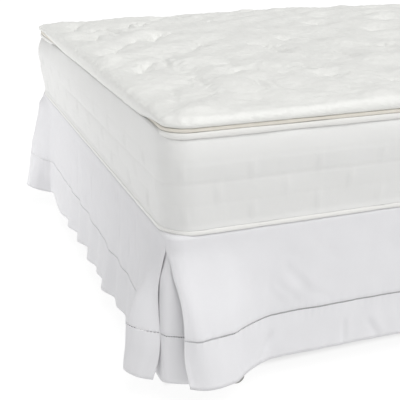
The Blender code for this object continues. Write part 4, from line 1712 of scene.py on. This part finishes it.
@dataclass
class RolledTape:
    """A tape sewn round the mattress: a soft roll with a line of stitches."""

    name: str
    node: str
    inset: float                     # from the mattress's plane to its middle
    height: float                    # of its middle, above the mattress's underside
    radius: float
    corner: float                    # radius of the plane's corners
    seed: int
    sag: float = 0.0                 # how far its outer side hangs down
    tall: float = 1.0                # height over depth of its section
    power: float = 1.0               # 1 for a round section, less for a square one
    tuck: float = 0.0                # how far it lies in where it is tucked away
    shrink: float = 0.0              # and how much thinner it is there
    near: float = TAPE_FREE          # where across the bed it comes out in front
    around: int = 12
    spacing: float = 0.009
    usual: float = 0.965             # its usual share of the full radius
    uneven: float = 0.035            # how much that varies, as a share
    uneven_sizes: Span = (0.05, 0.25)
    most: float = 0.03               # the most that this adds
    stitch_depth: float = 0.07       # of the stitch line along it, as a share
    stitch_turn: float = 0.45        # half its angle round the section
    stitch_width: float = 0.12
    weld: float = 0.00005            # the gap that its closing round may leave

    def build(self) -> Piece:
        """Sweep the roll round the mattress.

        Returns:
            The finished tape.
        """
        outline = Outline(HALF_LENGTH - self.inset, HALF_WIDTH - self.inset,
                          self.corner - self.inset)
        base, out, walked = outline.walk(self.spacing)
        angle = np.linspace(0.0, 2 * math.pi, self.around + 1)
        ripple = Ripple(self.seed, self.uneven, *self.uneven_sizes)
        uneven = ripple.at(walked, np.zeros_like(walked))
        size = self.radius * (self.usual + np.minimum(uneven, self.most))[:, None]
        away = under_pad(base[:, 0], base[:, 1], self.near)[:, None]
        size = size * (1 - self.shrink * away)
        groove = bell(np.sin(angle / 2 - self.stitch_turn), self.stitch_width)
        section = 1 - self.stitch_depth * groove[None, :]
        wide, high = (np.sign(wave) * np.abs(wave) ** self.power
                      for wave in (np.cos(angle), np.sin(angle)))
        reach = size * section * wide[None, :]
        rise = size * section * self.tall * high[None, :]
        plan = base[:, None, :] + out[:, None, :] * (reach - self.tuck * away)[..., None]
        hang = self.sag * smooth_step(0.5 + reach / self.radius / 2)
        tall = SKIRT_TOP + self.height + rise - hang + self.shrink * self.radius * away
        points = np.concatenate([plan, tall[..., None]], axis=-1)
        tape = grid_piece(self.name, points, spread(walked, angle * self.radius), ring=True)
        weld = tape.modifiers.new("Close", "WELD")
        weld.merge_threshold = self.weld
        apply_all(tape)
        with editing(tape):
            bpy.ops.mesh.normals_make_consistent(inside=False)
        return tape


@dataclass
class Mattress:
    """The mattress: its core, its pillow top and its three rolled tapes."""

    def build(self) -> None:
        """Build the mattress's pieces, and dress each."""
        # edge is the pillow tape's finish, its colour darkened and browned as painted shade
        # of the groove under the pad.
        ticking, tape, edge = TICKING.build(), TAPE.build(), GROOVE_SHADED_TAPE.build()
        core, pad = MattressCore(), PillowTop()
        self._fill(core.build(), ticking, "mattress_core", fill=0.9)
        # The pad takes the lightened ticking: painted light on the top over its own slightly
        # yellower tint.
        self._fill(pad.build(), LIGHTENED_PAD_TICKING.build(), "pillow_top", fill=0.7)
        lower = RolledTape("lower_roll", "tape_lower", inset=LOWER_TAPE - 0.0018,
                           height=LOWER_TAPE + GAP, radius=LOWER_TAPE,
                           corner=MATTRESS_CORNER, seed=3, sag=0.0035, power=0.75)
        upper = RolledTape("upper_roll", "tape_upper", inset=UPPER_TAPE + 0.0012,
                           height=CORE_HEIGHT - UPPER_TAPE + 0.0015, radius=UPPER_TAPE,
                           corner=TOP_CORNER, seed=4, power=0.6, tuck=0.0070,
                           shrink=0.55, near=-0.69)
        pillow = RolledTape("pillow_roll", "tape_pillow", inset=PILLOW_TAPE_INSET - 0.0038,
                            height=CORE_HEIGHT + 0.0050, radius=PILLOW_TAPE,
                            corner=TOP_CORNER, seed=5, tall=1.5, power=0.4, tuck=0.0015,
                            shrink=0.25, near=-0.67)
        for roll, finish in ((lower, tape), (upper, tape), (pillow, edge)):
            dress(roll.build(), finish, roll.node)

    @staticmethod
    def _fill(piece: Piece, finish: bpy.types.Material, node: str,
              fill: float) -> None:
        """Dress a padded piece."""
        dress(piece, finish, node)


# ---- what the bed stands on -------------------------------------------------------------
@dataclass
class BoxSpring:
    """The cloth-covered box spring, with a welt round its top and bottom edges."""

    inset: float = 0.006
    corner: float = 0.0315
    top_round: float = 0.020
    bottom_round: float = 0.004
    welt: float = 0.012              # from each edge of the border to its welt
    welt_width: float = 0.6          # as a share of that
    welt_out: float = 0.0025

    def build(self) -> None:
        """Build the box: round its corners, then let its welts stand out."""
        half_x, half_y = HALF_LENGTH - self.inset, HALF_WIDTH - self.inset
        box = add_box("covered_box", (-half_x, -half_y, BOX_BOTTOM),
                      (half_x, half_y, BOX_TOP))
        with editing(box):
            choose(box, edges=lambda middle, way: abs(way.z) > ALONG)
            bpy.ops.mesh.bevel(offset=self.corner, segments=10, affect="EDGES")
            choose(box, edges=lambda middle, way:
                   middle.z > BOX_TOP - GAP and abs(way.z) < ACROSS)
            bpy.ops.mesh.bevel(offset=self.top_round, segments=6, affect="EDGES")
            choose(box, edges=lambda middle, way:
                   middle.z < BOX_BOTTOM + GAP and abs(way.z) < ACROSS)
            bpy.ops.mesh.bevel(offset=self.bottom_round, segments=3, affect="EDGES")
            top = BOX_TOP - self.top_round
            far, half = (1 + self.welt_width) * self.welt, self.welt_width * self.welt / 2
            for height in (BOX_BOTTOM + self.welt, BOX_BOTTOM + far, top - far,
                           top - self.welt):
                cut_level(height)
            low, high = BOX_BOTTOM + self.welt + half, top - self.welt - half
            choose(box, faces=lambda centre, normal: min(
                abs(centre.z - low), abs(centre.z - high)) < half and abs(normal.z) < ACROSS)
            bpy.ops.transform.shrink_fatten(value=-self.welt_out)
        soften(box, width=0.0012, segments=3, limit=math.radians(50))
        self._map(box)
        box.data.shade_smooth()
        dress(box, BOX_COVER.build(), "box_spring")

    @staticmethod
    def _map(box: Piece) -> None:
        """Give the cover its pattern coordinates in metres, face by face.

        Args:
            box: The covered box.
        """
        while box.data.uv_layers:
            box.data.uv_layers.remove(box.data.uv_layers[0])
        layer = box.data.uv_layers.new(name="Pattern")
        level = 0.7                  # how much of its direction is upright, at least
        for face in box.data.polygons:
            normal = face.normal
            flat = abs(normal.z) > level
            for loop in face.loop_indices:
                place = box.data.vertices[box.data.loops[loop].vertex_index].co
                if flat:
                    layer.data[loop].uv = (place.x, place.y)
                elif abs(normal.x) > abs(normal.y):
                    layer.data[loop].uv = (place.y, place.z)
                else:
                    layer.data[loop].uv = (place.x, place.z)


@dataclass
class BedFrame:
    """The steel frame: angle rails and cross bars, legs and glide feet."""

    leg_x: float = HALF_LENGTH - 0.166
    leg_y: float = HALF_WIDTH - 0.0255
    size: float = 0.034
    wall: float = 0.004
    setback: float = 0.016
    leg_radius: float = 0.010
    leg_tip: float = 0.004           # height of the cap at its foot
    leg_tip_out: float = 0.003
    leg_ring: Span = (0.012, 0.018)             # where up the leg its lock ring is
    leg_ring_out: float = 0.0035
    glide_radius: float = 0.0217
    glide_flat: float = 0.011        # radius of its flat top and bottom
    glide_sole: float = 0.0001       # what it keeps above the floor
    glide_rim: float = 0.003
    glide_groove: float = 0.0006     # how far the moulded line round it stands out

    def build(self) -> None:
        """Build every bar, leg and foot, and dress each."""
        steel, plastic = STEEL.build(), PLASTIC.build()
        top = BOX_BOTTOM - GAP
        bottom = top - self.size
        half = self.size / 2
        end_x = HALF_LENGTH - self.setback
        for side, name in ((-1, "front"), (1, "back")):
            y = side * self.leg_y
            bar = self._angle(f"angle_rail_{name}", (-end_x, y - half, bottom),
                              (end_x, y + half, top), (0, side))
            dress(bar, steel, f"rail_{name}")
        bar_y = self.leg_y - half - GAP
        for x, name in ((-self.leg_x, "foot"), (0.0, "middle"), (self.leg_x, "head")):
            bar = self._angle(f"angle_bar_{name}", (x - half, -bar_y, bottom),
                              (x + half, bar_y, top), (1, 0))
            dress(bar, steel, f"cross_bar_{name}")
        places = ((-self.leg_x, -self.leg_y), (self.leg_x, -self.leg_y),
                  (-self.leg_x, self.leg_y), (self.leg_x, self.leg_y), (0.0, 0.0))
        tall = math.sqrt(self.glide_radius ** 2 - self.glide_flat ** 2)
        for number, (x, y) in enumerate(places, start=1):
            leg = self._leg(f"tube_leg_{number}", x, y, 2 * tall + GAP, bottom - GAP)
            dress(leg, steel, f"leg_{number}")
            foot = self._glide(f"round_glide_{number}", x, y, tall)
            dress(foot, plastic, f"glide_foot_{number}")

    def _angle(self, name: str, low: Point, high: Point, outer: tuple[int, int]) -> Piece:
        """Make an angle bar: a top flange, with a wall turned down from its outer edge.

        Args:
            name: The bar's name.
            low: The lowest corner of its box.
            high: The highest corner.
            outer: The plan direction of the side that the wall is on.

        Returns:
            The finished bar.
        """
        bar = add_box(name, (low[0], low[1], high[2] - self.wall), high)
        edge = [high[axis] if outer[axis] > 0 else low[axis] for axis in range(2)]
        cut = [edge[axis] - outer[axis] * self.wall for axis in range(2)]
        axis = 0 if outer[0] else 1
        with editing(bar):
            bpy.ops.mesh.bisect(plane_co=(cut[0], cut[1], 0), plane_no=(*outer, 0))
            choose(bar, faces=lambda centre, normal: normal.z < -ALONG
                   and (centre[axis] - cut[axis]) * outer[axis] > 0)
            bpy.ops.mesh.extrude_region_move(TRANSFORM_OT_translate={
                "value": (0, 0, low[2] - high[2] + self.wall)})
        soften(bar, width=0.0008, segments=2)
        bar.data.shade_flat()
        return bar

    def _leg(self, name: str, x: float, y: float, low: float, high: float) -> Piece:
        """Make a tube leg with a cap and a lock ring at its foot.

        Args:
            name: The leg's name.
            x: Its place along the bed.
            y: Its place across it.
            low: The height of its lower end.
            high: The height of its upper end.

        Returns:
            The finished leg.
        """
        deselect_all()
        middle = (low + high) / 2
        bpy.ops.mesh.primitive_cylinder_add(vertices=32, radius=self.leg_radius,
                                            depth=high - low, location=(x, y, middle))
        leg = name_new(name)
        end = (low - high) / 2
        tip, ring_low, ring_high = (end + up for up in (self.leg_tip, *self.leg_ring))
        with editing(leg):
            for height in (tip, ring_low, ring_high):
                cut_level(middle + height)
            choose(leg, faces=lambda centre, normal: abs(normal.z) < 0.5
                   and ring_low < centre.z < ring_high)
            bpy.ops.transform.shrink_fatten(value=-self.leg_ring_out)
            choose(leg, faces=lambda centre, normal: abs(normal.z) < 0.5
                   and centre.z < tip)
            bpy.ops.transform.shrink_fatten(value=-self.leg_tip_out)
        soften(leg, width=0.0006, segments=2)
        smooth_by_angle(leg, 40)
        return leg

    def _glide(self, name: str, x: float, y: float, tall: float) -> Piece:
        """Make a glide foot: a ball cut flat above and below, with softened rims.

        Args:
            name: The foot's name.
            x: Its place along the bed.
            y: Its place across it.
            tall: Half its height.

        Returns:
            The finished foot.
        """
        deselect_all()
        bpy.ops.mesh.primitive_uv_sphere_add(segments=32, ring_count=24,
                                             radius=self.glide_radius,
                                             location=(x, y, tall))
        foot = name_new(name)
        flat, upright = 0.99, 0.16   # how much of a face's direction is upright
        on_axis = 0.001
        with editing(foot):
            for height, way in ((2 * tall, 1), (self.glide_sole, -1)):
                cut_level(height, plane_no=(0, 0, way), use_fill=True, clear_outer=True)
            choose(foot, faces=lambda centre, normal: abs(normal.z) > flat
                   and centre.xy.length < on_axis)
            bpy.ops.mesh.inset(thickness=self.glide_rim, depth=0.0)
            choose(foot, faces=lambda centre, normal: abs(normal.z) < upright)
            bpy.ops.transform.shrink_fatten(value=-self.glide_groove)
        apply_all(foot)
        smooth_by_angle(foot, 35)
        return foot


# ---- the studio -------------------------------------------------------------------------
@dataclass(frozen=True)
class SoftSun:
    """One wide, soft source: how it is turned, how wide it looks, and its strength."""

    name: str
    direction: Point                 # from the bed towards the light
    width: float                     # as an angle, in degrees
    strength: float

    def build(self) -> None:
        """Hang the light."""
        data = bpy.data.lights.new(self.name, "SUN")
        data.angle = math.radians(self.width)
        data.energy = self.strength
        lamp = bpy.data.objects.new(self.name, data)
        lamp.location = self.direction
        lamp.rotation_euler = Vector(self.direction).to_track_quat("Z", "Y").to_euler()
        bpy.context.scene.collection.objects.link(lamp)


@dataclass
class Studio:
    """The pale floor, the soft light and the camera."""

    sky: float = 0.45
    floor_size: float = 60.0
    lamps: tuple[SoftSun, ...] = (
        SoftSun("key_light", (0.75, -1.60, 3.60), 50.0, 2.15),
        SoftSun("end_light", (-2.5, 0.6, 1.6), 70.0, 0.10),
    )
    fill_place: Point = (-2.1, 0.60, 0.25)
    fill_aim: Point = (-1.0, 0.65, 0.16)
    fill_size: float = 0.6
    fill_power: float = 4.6
    floor_glow: float = 0.92
    dark_x: Span = (0.94, 1.01)     # where the glow begins, from the middle
    dark_y: Span = (0.60, 0.70)
    view: Viewpoint = VIEW

    def build(self) -> None:
        """Lay the floor, and set the light and the camera."""
        deselect_all()
        bpy.ops.mesh.primitive_plane_add(size=self.floor_size)
        floor = bpy.context.active_object
        floor.name = "studio_floor"
        finish = Finish("studio_floor", (0.12, 0.12, 0.12), 0.9).start()
        finish.shader.inputs["Emission Color"].default_value = (1.0, 1.0, 1.0, 1.0)
        finish.join(self._glow(finish), finish.shader.inputs["Emission Strength"])
        floor.data.materials.append(finish.material)
        world = bpy.data.worlds.new("studio_sky")
        world.use_nodes = True
        world.node_tree.nodes["Background"].inputs["Color"].default_value = (1, 1, 1, 1)
        world.node_tree.nodes["Background"].inputs["Strength"].default_value = self.sky
        bpy.context.scene.world = world
        bpy.context.scene.view_settings.view_transform = "Standard"
        for lamp in self.lamps:
            lamp.build()
        deselect_all()
        bpy.ops.object.light_add(type="AREA", location=self.fill_place)
        fill = bpy.context.active_object
        fill.name = "far_fill"
        away = Vector(self.fill_place) - Vector(self.fill_aim)
        fill.rotation_euler = away.to_track_quat("Z", "Y").to_euler()
        fill.data.size = self.fill_size
        fill.data.energy = self.fill_power
        data = bpy.data.cameras.new("camera")
        data.lens, data.sensor_width = self.view.lens, self.view.sensor
        camera = bpy.data.objects.new("camera", data)
        camera.location = self.view.place
        camera.rotation_euler = (QUARTER - self.view.tilt, 0.0, -self.view.pan)
        bpy.context.scene.collection.objects.link(camera)
        bpy.context.scene.camera = camera

    def _glow(self, tree: Tree) -> Socket:
        """Give the floor's glow, which is left out in the dark under the bed.

        Args:
            tree: The floor's node tree.

        Returns:
            The glow's output.
        """
        place = tree.add("SeparateXYZ")
        tree.join(tree.add("TexCoord").outputs["Object"], place.inputs["Vector"])
        beside = []
        for axis, (low, high) in (("X", self.dark_x), ("Y", self.dark_y)):
            far = tree.add("Math", operation="ABSOLUTE")
            tree.join(place.outputs[axis], far.inputs[0])
            fade = tree.add("MapRange", From_Min=low, From_Max=high)
            tree.join(far.outputs["Value"], fade.inputs["Value"])
            beside.append(fade.outputs["Result"])
        lit = tree.add("Math", operation="MAXIMUM")
        for number, share in enumerate(beside):
            tree.join(share, lit.inputs[number])
        glow = tree.add("Math", operation="MULTIPLY")
        tree.join(lit.outputs["Value"], glow.inputs[0])
        glow.inputs[1].default_value = self.floor_glow
        return glow.outputs["Value"]


def main() -> None:
    """Dress the frame, part by part."""
    logging.basicConfig(level=logging.INFO, format="%(name)s %(message)s")
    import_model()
    Studio().build()
    Skirt().build()
    Mattress().build()
    BoxSpring().build()
    BedFrame().build()
    deselect_all()


if __name__ == "__main__":
    main()
